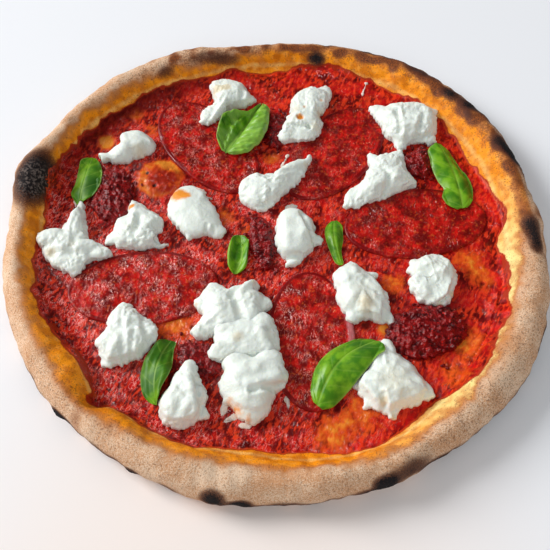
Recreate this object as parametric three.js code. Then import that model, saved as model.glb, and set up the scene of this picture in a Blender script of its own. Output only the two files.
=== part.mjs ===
// A burrata pizza: a baked crust with a blistered rim, tomato sauce, oval slices of salami, crumbled
// soft sausage, torn burrata and basil leaves.
// Millimetres, +Z up. The pizza lies on z = 0 and the origin is under the middle of its outline.
// Angles are in degrees, anticlockwise from +X seen from above.

import * as THREE from "three";
import { SimplexNoise } from "three/addons/math/SimplexNoise.js";
import { mergeVertices } from "three/addons/utils/BufferGeometryUtils.js";

// Driving dimensions
const PIZZA_RADIUS = 160; // middle to the outside of the rim
const RIM_WIDTH = 24; // outside of the rim to the edge of the sauce
const RIM_HEIGHT = 20; // table to the crown of the rim
const BASE_THICKNESS = 4; // dough under the sauce
const SAUCE_DEPTH = 2.2;
const SALAMI_LENGTH = 88;
const SALAMI_WIDTH = 50;
const SALAMI_THICKNESS = 1.6;
const LEAF_THICKNESS = 0.8;
const CLEARANCE = 0.3; // between a piece and what it lies on
const CELL_REACH = 0.75; // half the diagonal of a millimetre cell, rounded up

// Facets
const CRUST_SEGMENTS = 64;
const RIM_FACETS = 12; // round the rim's section
const FLOOR_RINGS = [120, 104, 90, 76, 56, 28]; // radii of the rings under the sauce
const SAUCE_SLOPE_FACETS = 3; // how far the sauce climbs the inside of the rim
const SALAMI_SEGMENTS = 26;
const SAUSAGE_SEGMENTS = 16;
const PIECE_RINGS = 3;
const RING_CROWDING = 1.5; // over 1 the rings of a piece lie closer together towards its edge
const LEAF_STEPS = 8;
const LEAF_CROSS = 4;

// The rim's section from its foot on the table, over the crown, to the floor under the sauce:
// across 0 is the edge of the sauce and 1 the outside of the rim, up 1 is the crown.
const RIM_SECTION = [
  { across: 0.62, up: 0 },
  { across: 0.9, up: 0.12 },
  { across: 1, up: 0.42 },
  { across: 0.9, up: 0.77 },
  { across: 0.62, up: 1 },
  { across: 0.33, up: 0.88 },
  { across: 0.1, up: 0.56 },
  { across: -0.05, up: 0.32 },
  { across: -0.25, up: BASE_THICKNESS / RIM_HEIGHT },
];

// Where the outline, the edge of the sauce and the crown leave the plain round
const OUTLINE_SWELLS = [
  { at: 53, spread: 40, out: 4.5 },
  { at: 90, spread: 34, out: -5 },
  { at: 129, spread: 32, out: 5 },
  { at: 164, spread: 15, out: 4.5 },
  { at: 176, spread: 12, out: -2.5 },
  { at: 256, spread: 12, out: 1.5 },
  { at: 330, spread: 30, out: 3 },
  { at: 5, spread: 24, out: -1.5 },
];
const SAUCE_EDGE_SWELLS = [
  { at: 55, spread: 50, out: 5 },
  { at: 100, spread: 30, out: 3 },
  { at: 143, spread: 36, out: 9 },
  { at: 180, spread: 24, out: 3 },
  { at: 216, spread: 16, out: -3 },
  { at: 227, spread: 7, out: 5 },
  { at: 262, spread: 14, out: -4 },
  { at: 295, spread: 20, out: 3 },
  { at: 325, spread: 28, out: -3 },
  { at: 348, spread: 20, out: -2 },
];
const CROWN_SWELLS = [
  { at: 90, spread: 80, out: -3 },
  { at: 165, spread: 16, out: 3 },
  { at: 215, spread: 26, out: 2 },
  { at: 250, spread: 24, out: 2.5 },
  { at: 285, spread: 24, out: 2 },
  { at: 325, spread: 34, out: 2.5 },
  { at: 20, spread: 26, out: 1.5 },
];

// Charred blisters: rise is the angle round the rim's section, 0 outwards and 90 on the crown
const BLISTERS = [
  { at: 163, rise: 70, size: 24, lift: 3.5 },
  { at: 258, rise: -8, size: 14, lift: 2 },
  { at: 267, rise: -12, size: 8, lift: 1.5 },
  { at: 292, rise: 12, size: 20, lift: 1.5 },
  { at: 27, rise: 50, size: 16, lift: 2 },
  { at: 4, rise: 45, size: 14, lift: 1.8 },
  { at: 112, rise: 45, size: 9, lift: 2.5 },
];
const BLISTER_SECTION_RADIUS = 11; // turns an angle round the section into a length

// A bubble of dough that lifts the floor and the sauce over it
const DOUGH_BUBBLE = { x: -72, y: 46, size: 19, lift: 5 };

// Unevenness: how large the lumps are and how high
const CRUST_LUMP = { size: 26, height: 0.7 };
const SAUCE_LUMP = { size: 17, height: 0.5 };
const BURRATA_LUMP = { size: 9, height: 1.5 };
const SAUSAGE_LUMP = { size: 5, height: 1.6 };
const LEAF_RIPPLE = { size: 14, height: 0.7 };
const NOISE_SEED = 11;

// Salami slices: middle and heading of the long axis
const SALAMI = [
  { x: -76, y: -33, heading: 4 },
  { x: -43, y: 71, heading: 128 },
  { x: 37, y: 66, heading: 52 },
  { x: 84, y: 12, heading: 8 },
  { x: 20, y: -66, heading: 92 },
];

// Crumbled soft sausage: middle, size along and across its heading, height
const SAUSAGE = [
  { x: 85, y: -61, length: 46, width: 32, heading: 10, height: 5.5 },
  { x: 90, y: 57, length: 24, width: 18, heading: 80, height: 5 },
  { x: -100, y: 33, length: 42, width: 26, heading: 100, height: 5 },
  { x: -8, y: -2, length: 38, width: 14, heading: 100, height: 4 },
  { x: -42, y: -78, length: 28, width: 20, heading: 150, height: 5 },
  { x: -2, y: 84, length: 30, width: 14, heading: 106, height: 4 },
];

// Torn burrata: middle, height and the outline's corners as [angle, reach]
const BURRATA = [
  {
    x: -31, y: 109, height: 10,
    corners: [
      [20, 15], [75, 16], [125, 19], [160, 11], [205, 9], [243, 24], [275, 9],
      [310, 9], [345, 16],
    ],
  },
  {
    x: 19, y: 93, height: 10,
    corners: [
      [15, 10], [52, 27], [80, 27], [105, 22], [135, 13], [170, 9], [200, 13],
      [228, 23], [258, 21], [285, 19], [315, 15], [345, 10],
    ],
  },
  {
    x: 83, y: 87, height: 12,
    corners: [
      [11, 21], [50, 20], [87, 16], [125, 19], [156, 21], [190, 15], [223, 16],
      [259, 17], [290, 15], [322, 20],
    ],
  },
  {
    x: 67, y: 42, height: 11,
    corners: [
      [25, 16], [58, 21], [98, 19], [135, 13], [175, 12], [221, 26], [250, 16],
      [290, 11], [325, 13], [354, 19],
    ],
  },
  {
    x: -89, y: 69, height: 10,
    corners: [
      [0, 14], [68, 12], [105, 12], [135, 13], [165, 9], [185, 10], [203, 20],
      [229, 18], [270, 10], [320, 11],
    ],
  },
  {
    x: -6, y: 35, height: 10,
    corners: [
      [0, 14], [22, 18], [38, 36], [47, 30], [62, 9], [100, 10], [150, 16],
      [200, 17], [245, 16], [290, 11], [330, 10],
    ],
  },
  {
    x: -48, y: 17, height: 9,
    corners: [
      [0, 13], [47, 12], [96, 21], [118, 22], [147, 20], [187, 17], [225, 11],
      [247, 9], [260, 17], [275, 10], [298, 16], [318, 22],
    ],
  },
  {
    x: -81, y: 5, height: 10,
    corners: [
      [33, 16], [70, 15], [103, 21], [118, 15], [165, 9], [199, 17], [225, 16],
      [256, 13], [297, 13], [327, 16], [345, 11],
    ],
  },
  {
    x: 11, y: 2, height: 12,
    corners: [
      [5, 12], [35, 15], [60, 16], [90, 19], [115, 19], [145, 13], [180, 11],
      [215, 13], [250, 18], [280, 18], [305, 15], [335, 13], [350, 15],
    ],
  },
  {
    x: -120, y: -6, height: 10,
    corners: [
      [0, 19], [20, 10], [55, 13], [73, 21], [86, 31], [103, 19], [125, 13],
      [160, 16], [195, 16], [225, 14], [265, 17], [300, 15], [335, 16],
    ],
  },
  {
    x: 90, y: -29, height: 11,
    corners: [
      [0, 14], [45, 17], [85, 17], [120, 15], [150, 14], [165, 10], [180, 14],
      [225, 15], [265, 16], [290, 18], [320, 14],
    ],
  },
  {
    x: 48, y: -39, height: 11,
    corners: [
      [30, 13], [65, 15], [105, 22], [139, 20], [166, 14], [205, 14], [250, 17],
      [286, 15], [305, 22], [320, 21], [357, 15],
    ],
  },
  {
    x: -25, y: -48, height: 11,
    corners: [
      [15, 22], [40, 19], [54, 24], [66, 17], [98, 12], [128, 20], [166, 20],
      [190, 14], [207, 22], [221, 24], [247, 17], [291, 10], [345, 14],
    ],
  },
  {
    x: -15, y: -69, height: 11,
    corners: [
      [9, 17], [35, 17], [65, 15], [90, 10], [114, 8], [150, 9], [178, 15],
      [209, 21], [229, 18], [250, 11], [275, 8], [304, 7], [329, 17], [350, 18],
    ],
  },
  {
    x: -13, y: -95, height: 13,
    corners: [
      [19, 20], [46, 19], [82, 16], [124, 15], [143, 17], [178, 18], [209, 17],
      [240, 17], [270, 19], [295, 19], [333, 13],
    ],
  },
  {
    x: -83, y: -66, height: 11,
    corners: [
      [15, 18], [60, 15], [95, 20], [120, 18], [150, 12], [200, 16], [242, 19],
      [290, 14], [335, 15],
    ],
  },
  {
    x: 62, y: -94, height: 11,
    corners: [
      [20, 17], [60, 17], [86, 20], [100, 26], [118, 19], [150, 17], [180, 19],
      [221, 17], [262, 17], [285, 14], [312, 16], [347, 21],
    ],
  },
  {
    x: -49, y: -103, height: 12,
    corners: [
      [10, 13], [50, 14], [75, 18], [100, 17], [140, 11], [185, 13], [238, 17],
      [265, 16], [300, 14], [340, 12],
    ],
  },
];
const BURRATA_EDGE = 2.6; // least thickness, at the torn edge
const SAUSAGE_EDGE = 1.4;

// Basil leaves: middle, size, heading of the tip, rise of the midrib, lift of the sides (drop if negative)
const BASIL = [
  { x: -20, y: 85, length: 42, width: 32, heading: 62, arch: 3, cup: 5 },
  { x: 108, y: 44, length: 45, width: 21, heading: 117, arch: 5, cup: -4 },
  { x: -116, y: 45, length: 33, width: 19, heading: 76, arch: 4, cup: -3 },
  { x: 34, y: -2, length: 29, width: 12, heading: 278, arch: 4, cup: -2 },
  { x: -22, y: -11, length: 25, width: 13, heading: 88, arch: 2, cup: 3 },
  { x: 36, y: -86, length: 50, width: 26, heading: 40, arch: 6, cup: -4 },
  { x: -64, y: -85, length: 40, width: 20, heading: 84, arch: 4, cup: -3 },
];
const LEAF_END_WIDTH = 0.14; // width left at the tip and the stem, as a share of the full width
const LEAF_BROAD_END = 0.8; // under 1 the leaf is broadest near its stem
const LEAF_BLUNTNESS = 0.75; // under 1 the sides are fuller and the ends blunter

const FINISHES = {
  crust: { color: 0xc99a62, roughness: 0.85 },
  sauce: { color: 0xb3160f, roughness: 0.35 },
  salami: { color: 0x9c150f, roughness: 0.4 },
  sausage: { color: 0x6b0d10, roughness: 0.45 },
  burrata: { color: 0xeeeee6, roughness: 0.45 },
  basil: { color: 0x3f8418, roughness: 0.4 },
};

const UP = new THREE.Vector3(0, 0, 1);

THREE.MathUtils.seededRandom(NOISE_SEED);
const noise = new SimplexNoise({ random: () => THREE.MathUtils.seededRandom() });

function lumpAt(lump, x, y) {
  return lump.height * noise.noise(x / lump.size, y / lump.size);
}

// A smooth hill: 1 in the middle, 0 from `spread` on
function hill(distance, spread) {
  const share = Math.min(Math.abs(distance) / spread, 1);
  return (1 - share * share) ** 2;
}

// The shorter turn from one angle to another
function turnBetween(from, to) {
  return THREE.MathUtils.euclideanModulo(to - from + 180, 360) - 180;
}

function swellAt(swells, angle) {
  return swells.reduce((sum, swell) => sum + swell.out * hill(turnBetween(swell.at, angle), swell.spread), 0);
}

// Leaves a geometry with shared vertices and no triangle that has shrunk to a line
function weld(geometry) {
  geometry.deleteAttribute("normal");
  geometry.deleteAttribute("uv");
  const welded = mergeVertices(geometry, 1e-3);
  const kept = [];
  for (let i = 0; i < welded.index.count; i += 3) {
    const [a, b, c] = [0, 1, 2].map((corner) => welded.index.getX(i + corner));
    if (a !== b && b !== c && c !== a) kept.push(a, b, c);
  }
  welded.setIndex(kept);
  return welded;
}

// Moves every vertex of a geometry by a function of its place
function reshape(geometry, move) {
  const place = geometry.getAttribute("position");
  const vertex = new THREE.Vector3();
  for (let i = 0; i < place.count; i++) {
    vertex.fromBufferAttribute(place, i);
    move(vertex);
    place.setXYZ(i, vertex.x, vertex.y, vertex.z);
  }
  return geometry;
}

// Turns an open surface that faces up into a solid between two heights at each of its vertices
function thicken(surface, under, over) {
  const place = surface.getAttribute("position");
  const faces = surface.index.array;
  const count = place.count;
  const points = [];
  for (const heights of [under, over]) {
    for (let i = 0; i < count; i++) points.push(place.getX(i), place.getY(i), heights[i]);
  }
  const triangles = [];
  const edges = new Set();
  for (let i = 0; i < faces.length; i += 3) {
    const [a, b, c] = [faces[i], faces[i + 1], faces[i + 2]];
    triangles.push(a + count, b + count, c + count, c, b, a);
    for (const [from, to] of [[a, b], [b, c], [c, a]]) edges.add(`${from} ${to}`);
  }
  for (const edge of edges) {
    const [from, to] = edge.split(" ").map(Number);
    if (edges.has(`${to} ${from}`)) continue;
    triangles.push(from, to, to + count, from, to + count, from + count);
  }
  const solid = new THREE.BufferGeometry();
  solid.setAttribute("position", new THREE.Float32BufferAttribute(points, 3));
  solid.setIndex(triangles);
  return solid;
}

// The corners of each triangle of a geometry
function trianglesOf(geometry) {
  const place = geometry.getAttribute("position");
  const faces = [];
  for (let i = 0; i < geometry.index.count; i += 3) {
    const corners = [0, 1, 2].map((n) => geometry.index.getX(i + n));
    faces.push(corners.map((corner) => new THREE.Vector3().fromBufferAttribute(place, corner)));
  }
  return faces;
}

// Height of everything laid so far, in square cells of a millimetre
class Terrain {
  constructor(reach) {
    this.reach = reach;
    this.side = 2 * reach + 1;
    this.cells = new Float32Array(this.side * this.side);
  }

  cellAt(x, y) {
    return (Math.round(y) + this.reach) * this.side + Math.round(x) + this.reach;
  }

  // Calls `each` with every cell that a triangle touches, seen from above, and the corners' weights there
  visit(corners, each) {
    const flat = corners.map((corner) => new THREE.Vector3(corner.x, corner.y, 0));
    const triangle = new THREE.Triangle(...flat);
    const box = new THREE.Box3().setFromPoints(flat).expandByScalar(CELL_REACH);
    const [centre, nearest, weights] = [new THREE.Vector3(), new THREE.Vector3(), new THREE.Vector3()];
    for (let x = Math.ceil(box.min.x); x <= box.max.x; x++) {
      for (let y = Math.ceil(box.min.y); y <= box.max.y; y++) {
        triangle.closestPointToPoint(centre.set(x, y, 0), nearest);
        if (nearest.distanceTo(centre) > CELL_REACH || !triangle.getBarycoord(nearest, weights)) continue;
        each(this.cellAt(x, y), weights);
      }
    }
  }

  // Raises the cells under each face of a solid to that face
  lay(solid) {
    for (const corners of trianglesOf(solid)) {
      this.visit(corners, (cell, weights) => {
        const height = corners[0].z * weights.x + corners[1].z * weights.y + corners[2].z * weights.z;
        this.cells[cell] = Math.max(this.cells[cell], height);
      });
    }
  }

  heightAt(x, y) {
    return this.cells[this.cellAt(x, y)];
  }

  highestUnder(corners) {
    let height = 0;
    this.visit(corners, (cell) => {
      height = Math.max(height, this.cells[cell]);
    });
    return height;
  }
}

// A plain round section of the crust, taken to the pizza's own outline, crown, bubble and blisters
function shapeDough(vertex) {
  const inner = PIZZA_RADIUS - RIM_WIDTH;
  const radius = Math.hypot(vertex.x, vertex.y);
  const angle = THREE.MathUtils.radToDeg(Math.atan2(vertex.y, vertex.x));
  const sauceEdge = inner + swellAt(SAUCE_EDGE_SWELLS, angle);
  const outside = PIZZA_RADIUS + swellAt(OUTLINE_SWELLS, angle);
  let reach = (radius * sauceEdge) / inner;
  if (radius > inner) reach = THREE.MathUtils.mapLinear(radius, inner, PIZZA_RADIUS, sauceEdge, outside);
  let height = vertex.z;
  if (height > BASE_THICKNESS + CLEARANCE) {
    const crown = RIM_HEIGHT + swellAt(CROWN_SWELLS, angle);
    height = THREE.MathUtils.mapLinear(height, BASE_THICKNESS, RIM_HEIGHT, BASE_THICKNESS, crown);
    height += lumpAt(CRUST_LUMP, vertex.x, vertex.y);
    const core = (sauceEdge + outside) / 2;
    const rise = THREE.MathUtils.radToDeg(Math.atan2(height - RIM_HEIGHT / 2, reach - core));
    const lift = BLISTERS.reduce((sum, blister) => {
      const along = THREE.MathUtils.degToRad(turnBetween(blister.at, angle)) * core;
      const round = THREE.MathUtils.degToRad(turnBetween(blister.rise, rise)) * BLISTER_SECTION_RADIUS;
      return sum + blister.lift * hill(Math.hypot(along, round), blister.size);
    }, 0);
    reach += lift * Math.cos(THREE.MathUtils.degToRad(rise));
    height += lift * Math.sin(THREE.MathUtils.degToRad(rise));
  }
  if (radius > 0) {
    vertex.x *= reach / radius;
    vertex.y *= reach / radius;
  }
  if (vertex.z >= BASE_THICKNESS) {
    const fromBubble = Math.hypot(vertex.x - DOUGH_BUBBLE.x, vertex.y - DOUGH_BUBBLE.y);
    height += DOUGH_BUBBLE.lift * hill(fromBubble, DOUGH_BUBBLE.size);
  }
  vertex.z = height;
}

function turned(profile) {
  return weld(new THREE.LatheGeometry(profile, CRUST_SEGMENTS).rotateX(Math.PI / 2));
}

function rimProfile() {
  const section = RIM_SECTION.map(
    ({ across, up }) => new THREE.Vector2(PIZZA_RADIUS + (across - 1) * RIM_WIDTH, up * RIM_HEIGHT),
  );
  return new THREE.SplineCurve(section).getPoints(RIM_FACETS);
}

function floorProfile() {
  return [...FLOOR_RINGS, 0].map((radius) => new THREE.Vector2(radius, BASE_THICKNESS));
}

function makeCrust() {
  const profile = [new THREE.Vector2(0, 0), ...rimProfile(), ...floorProfile()];
  return reshape(turned(profile), shapeDough);
}

// The sauce lies on the same facets as the dough under it
function makeSauce() {
  const surface = turned([...rimProfile().slice(-SAUCE_SLOPE_FACETS), ...floorProfile()]);
  reshape(surface, shapeDough);
  const place = surface.getAttribute("position");
  const under = [];
  const over = [];
  for (let i = 0; i < place.count; i++) {
    const [x, y] = [place.getX(i), place.getY(i)];
    under.push(place.getZ(i) + CLEARANCE);
    over.push(under[i] + SAUCE_DEPTH * hill(Math.hypot(x, y), 2 * PIZZA_RADIUS) + lumpAt(SAUCE_LUMP, x, y));
  }
  return thicken(surface, under, over);
}

// A disc of rings drawn out to a closed outline: `edge` gives the angle and the reach at a share of the way
// round. Returns the surface and how far out each vertex lies, 0 in the middle and 1 at the edge.
function outlinedDisc(middle, segments, edge) {
  const surface = weld(new THREE.RingGeometry(0, 1, segments, PIECE_RINGS));
  const spread = [];
  reshape(surface, (vertex) => {
    const out = Math.min(Math.hypot(vertex.x, vertex.y), 1);
    const round = THREE.MathUtils.euclideanModulo(Math.atan2(vertex.y, vertex.x) / (2 * Math.PI), 1);
    const { angle, reach } = edge(Math.round(round * segments) / segments);
    const share = 1 - (1 - out) ** RING_CROWDING;
    spread.push(share);
    vertex.x = middle.x + share * reach * Math.cos(THREE.MathUtils.degToRad(angle));
    vertex.y = middle.y + share * reach * Math.sin(THREE.MathUtils.degToRad(angle));
  });
  return { surface, spread };
}

function ovalEdge(length, width, heading) {
  return (round) => {
    const turn = round * 2 * Math.PI;
    const [along, across] = [(length / 2) * Math.cos(turn), (width / 2) * Math.sin(turn)];
    const angle = heading + THREE.MathUtils.radToDeg(Math.atan2(across, along));
    return { angle, reach: Math.hypot(along, across) };
  };
}

function tornEdge(corners) {
  return (round) => {
    const step = (round % 1) * corners.length;
    const [from, to] = [corners[Math.floor(step)], corners[(Math.floor(step) + 1) % corners.length]];
    const share = step % 1;
    return {
      angle: from[0] + share * turnBetween(from[0], to[0]),
      reach: THREE.MathUtils.lerp(from[1], to[1], THREE.MathUtils.smoothstep(share, 0, 1)),
    };
  };
}

// Lays an open surface on the terrain: each vertex of the underside clears all that lies below the triangles
// round it, and the top is at `heights`, or a skin of the least thickness where that is higher
function layOn(terrain, surface, heights, least) {
  const under = heights.map(() => 0);
  trianglesOf(surface).forEach((corners, face) => {
    const clear = terrain.highestUnder(corners) + CLEARANCE;
    for (let n = 0; n < 3; n++) {
      const vertex = surface.index.getX(3 * face + n);
      under[vertex] = Math.max(under[vertex], clear);
    }
  });
  const over = heights.map((height, i) => Math.max(height, under[i] + least));
  return thicken(surface, under, over);
}

function makeSalami(terrain, slice) {
  const edge = ovalEdge(SALAMI_LENGTH, SALAMI_WIDTH, slice.heading);
  const { surface, spread } = outlinedDisc(slice, SALAMI_SEGMENTS, edge);
  return layOn(terrain, surface, spread.map(() => 0), SALAMI_THICKNESS);
}

// A rounded lump: full height over most of it, falling to the ground at its edge
function makeLump(terrain, piece, segments, edge, lump, least) {
  const { surface, spread } = outlinedDisc(piece, segments, edge);
  const place = surface.getAttribute("position");
  const ground = terrain.heightAt(piece.x, piece.y);
  const heights = spread.map((share, i) => {
    const dome = piece.height * Math.sqrt(1 - share ** 4);
    return ground + dome + lumpAt(lump, place.getX(i), place.getY(i));
  });
  return layOn(terrain, surface, heights, least);
}

function makeSausage(terrain, piece) {
  const oval = ovalEdge(piece.length, piece.width, piece.heading);
  const edge = (round) => {
    const { angle, reach } = oval(round);
    const turn = THREE.MathUtils.degToRad(angle);
    const crumb = lumpAt(SAUSAGE_LUMP, piece.x + reach * Math.cos(turn), piece.y + reach * Math.sin(turn));
    return { angle, reach: reach + crumb };
  };
  return makeLump(terrain, piece, SAUSAGE_SEGMENTS, edge, SAUSAGE_LUMP, SAUSAGE_EDGE);
}

function makeBurrata(terrain, piece) {
  const segments = 2 * piece.corners.length;
  return makeLump(terrain, piece, segments, tornEdge(piece.corners), BURRATA_LUMP, BURRATA_EDGE);
}

// A leaf broadest near its stem, arched along the midrib and cupped or drooping at its sides
function makeLeaf(terrain, leaf) {
  const surface = weld(new THREE.PlaneGeometry(2, 2, LEAF_STEPS, LEAF_CROSS));
  const ground = terrain.heightAt(leaf.x, leaf.y);
  const heights = [];
  const heading = THREE.MathUtils.degToRad(leaf.heading);
  reshape(surface, (vertex) => {
    const [along, across] = [vertex.x, vertex.y];
    const fullness = Math.sin(Math.PI * ((along + 1) / 2) ** LEAF_BROAD_END) ** LEAF_BLUNTNESS;
    const width = (leaf.width / 2) * Math.max(fullness, LEAF_END_WIDTH);
    vertex.set((along * leaf.length) / 2, across * width, 0);
    vertex.applyAxisAngle(UP, heading).add(new THREE.Vector3(leaf.x, leaf.y, 0));
    const form = leaf.arch * (1 - along * along) + leaf.cup * across * across;
    heights.push(ground + form + lumpAt(LEAF_RIPPLE, vertex.x, vertex.y) * across * across);
  });
  return layOn(terrain, surface, heights, LEAF_THICKNESS);
}

const food = new THREE.Group();
const terrain = new Terrain(PIZZA_RADIUS + 2 * RIM_WIDTH);

// Adds the pieces of one kind, side by side, and lets the next kind lie on them
function addCourse(kind, solids) {
  solids.forEach((solid, i) => {
    const mesh = new THREE.Mesh(solid, new THREE.MeshStandardMaterial({ ...FINISHES[kind], metalness: 0 }));
    mesh.name = solids.length > 1 ? `${kind}_${i + 1}` : kind;
    food.add(mesh);
    terrain.lay(solid);
  });
}

addCourse("crust", [makeCrust()]);
addCourse("sauce", [makeSauce()]);
addCourse("salami", SALAMI.map((slice) => makeSalami(terrain, slice)));
addCourse("sausage", SAUSAGE.map((piece) => makeSausage(terrain, piece)));
addCourse("burrata", BURRATA.map((piece) => makeBurrata(terrain, piece)));
addCourse("basil", BASIL.map((leaf) => makeLeaf(terrain, leaf)));

// The origin goes under the middle of the outline
const box = new THREE.Box3().setFromObject(food);
const middle = box.getCenter(new THREE.Vector3());
food.position.set(-middle.x, -middle.y, -box.min.z);
const pizza = new THREE.Group();
pizza.add(food);

export default pizza;
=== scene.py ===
"""The looks of a burrata pizza, dressed over the solids of its frame.

Places and sizes are in millimetres in the frame: the pizza lies on z = 0, +Z is up and +Y is away from the
camera. Angles are in degrees, anticlockwise from +X seen from above. Colours are what the eye sees, 0 to 255.
"""

import logging
import math
import random
from dataclasses import dataclass
from enum import Enum
from typing import Callable, Optional, Sequence

import bmesh
import bpy
from mathutils import Matrix, Vector, noise
from mathutils.bvhtree import BVHTree

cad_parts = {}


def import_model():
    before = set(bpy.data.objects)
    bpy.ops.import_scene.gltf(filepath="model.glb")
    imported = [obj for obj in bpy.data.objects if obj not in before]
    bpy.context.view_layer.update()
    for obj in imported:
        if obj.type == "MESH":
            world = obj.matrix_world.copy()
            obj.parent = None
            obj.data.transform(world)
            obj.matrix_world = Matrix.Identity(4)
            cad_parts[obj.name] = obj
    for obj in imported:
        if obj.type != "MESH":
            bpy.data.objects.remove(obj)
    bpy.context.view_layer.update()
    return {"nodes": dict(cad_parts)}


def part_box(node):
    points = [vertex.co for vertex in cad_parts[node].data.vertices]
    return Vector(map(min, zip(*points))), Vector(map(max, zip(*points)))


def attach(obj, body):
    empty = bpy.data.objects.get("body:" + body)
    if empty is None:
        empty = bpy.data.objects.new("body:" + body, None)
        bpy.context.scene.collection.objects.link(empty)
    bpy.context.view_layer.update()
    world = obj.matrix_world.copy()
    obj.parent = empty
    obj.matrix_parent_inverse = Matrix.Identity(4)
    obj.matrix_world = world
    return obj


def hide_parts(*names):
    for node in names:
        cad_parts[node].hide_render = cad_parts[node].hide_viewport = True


log = logging.getLogger("pizza")

MM = 0.001
WELD = 0.001 * MM  # corners closer than this are one corner
OVERHEAD = 60 * MM  # a height above everything
UP = Vector((0, 0, 1))
DOWN = Vector((0, 0, -1))
SEED_STEP = Vector((17.3, 5.1, 9.7))  # how far apart the seeds of relief lie
TWIST_SEED = 7  # of the twist in folds, which would otherwise change with the clock

Colour = tuple[float, float, float, float]
Socket = bpy.types.NodeSocket
Form = bmesh.types.BMesh


def hill(distance: float, reach: float) -> float:
    """A smooth hill: 1 in the middle, 0 from the reach on."""
    share = min(abs(distance) / reach, 1.0)
    return (1 - share * share) ** 2


def ease(low: float, high: float, value: float) -> float:
    """0 at the low value, 1 at the high one, and smooth between; the low one may be the larger."""
    share = min(max((value - low) / (high - low), 0.0), 1.0)
    return share * share * (3 - 2 * share)


def turn_between(start: float, end: float) -> float:
    """The shorter turn from one angle to another, in degrees."""
    return (end - start + 180) % 360 - 180


def bearing(place: Vector) -> float:
    """The angle of a place seen from the middle of the pizza, in degrees."""
    return math.degrees(math.atan2(place.y, place.x))


def through(points: Sequence[tuple[float, float]], value: float) -> float:
    """A smooth line through points.

    Args:
        points: The points in order, each a place along the line and its height.
        value: Where the line is read.

    Returns:
        The height there; before the first point and after the last one the line is level.
    """
    if value <= points[0][0]:
        return points[0][1]
    if value >= points[-1][0]:
        return points[-1][1]
    after = next(index for index, point in enumerate(points) if point[0] >= value)
    (start, low), (end, high) = points[after - 1], points[after]
    before, beyond = points[max(after - 2, 0)], points[min(after + 1, len(points) - 1)]
    span, share = end - start, (value - start) / (end - start)
    rise_in = span * (high - before[1]) / (end - before[0])
    rise_out = span * (beyond[1] - low) / (beyond[0] - start)
    spare, square = 1 - share, share * share
    curve = (1 + 2 * share) * spare * spare * low + square * (3 - 2 * share) * high
    return curve + share * spare * spare * rise_in - square * spare * rise_out


def tint(red: int, green: int, blue: int) -> Colour:
    """The linear colour of a tone as the eye sees it.

    Args:
        red: The tone's red, 0 to 255.
        green: Its green.
        blue: Its blue.

    Returns:
        The colour, solid.
    """
    parts = [part / 255 for part in (red, green, blue)]
    linear = [part / 12.92 if part <= 0.04045 else ((part + 0.055) / 1.055) ** 2.4 for part in parts]
    return (linear[0], linear[1], linear[2], 1.0)


class Grain(Enum):
    """The kinds of unevenness that the food shows."""

    LUMPS = "soft lumps and hollows"
    CREASES = "ridges between soft hollows"
    FOLDS = "creases between soft swells"
    CURDS = "round grains side by side"


@dataclass(frozen=True)
class Relief:
    """One layer of unevenness: the size and the height of what stands out."""

    grain: Grain
    size: float
    height: float
    seed: int = 0

    def at(self, place: Vector) -> float:
        """The height at a place.

        Args:
            place: Where, in millimetres.

        Returns:
            How far the surface stands out there, in millimetres.
        """
        where = place / self.size + SEED_STEP * (self.seed + 1)
        if self.grain is Grain.LUMPS:
            share = noise.noise(where)
        elif self.grain is Grain.CREASES:
            share = 0.5 - 2 * abs(noise.noise(where))
        elif self.grain is Grain.FOLDS:
            share = 2.4 * abs(noise.noise(where + 0.35 * noise.noise_vector(where * 0.7))) - 0.5
        else:
            share = 1 - 2 * noise.voronoi(where)[0][0]
        return self.height * share


def relief_at(layers: Sequence[Relief], place: Vector) -> float:
    """The layers' heights added up at a place, in millimetres."""
    return sum(layer.at(place) for layer in layers)


def merged_copy(node: bpy.types.Object) -> Form:
    """A copy of a solid of the frame with its loose triangles joined up.

    Args:
        node: The solid's object.

    Returns:
        The copy, with pairs of triangles made four-sided where they were one.
    """
    form = bmesh.new()
    form.from_mesh(node.data)
    bmesh.ops.remove_doubles(form, verts=form.verts, dist=WELD)
    bmesh.ops.join_triangles(
        form,
        faces=form.faces,
        angle_face_threshold=math.radians(60),
        angle_shape_threshold=math.radians(80),
    )
    return form


def modified(form: Form, kind: str, **settings: object) -> Form:
    """Passes a form through one of Blender's modifiers.

    Args:
        form: The form, which is used up.
        kind: The modifier's type.
        settings: The modifier's own settings.

    Returns:
        The form as the modifier leaves it.
    """
    mesh = bpy.data.meshes.new("rough")
    form.to_mesh(mesh)
    form.free()
    rough = bpy.data.objects.new("rough", mesh)
    bpy.context.scene.collection.objects.link(rough)
    modifier = rough.modifiers.new(kind, kind)
    for name, value in settings.items():
        setattr(modifier, name, value)
    made = bmesh.new()
    made.from_object(rough, bpy.context.evaluated_depsgraph_get())
    bpy.data.objects.remove(rough)
    bpy.data.meshes.remove(mesh)
    return made


def rounded(form: Form, levels: int) -> Form:
    """The form with its facets rounded off by subdivision."""
    return modified(form, "SUBSURF", levels=levels, render_levels=levels)


def even_skin(form: Form, cell: float) -> Form:
    """The form with a skin of even cells of a size in millimetres."""
    return modified(form, "REMESH", mode="VOXEL", voxel_size=cell * MM, adaptivity=0.0)


def eased(form: Form, rounds: int) -> None:
    """Smooths a form's skin a number of times over.

    Args:
        form: What is smoothed.
        rounds: How many times.
    """
    for _ in range(rounds):
        bmesh.ops.smooth_vert(
            form,
            verts=form.verts,
            factor=0.5,
            use_axis_x=True,
            use_axis_y=True,
            use_axis_z=True,
        )


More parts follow.
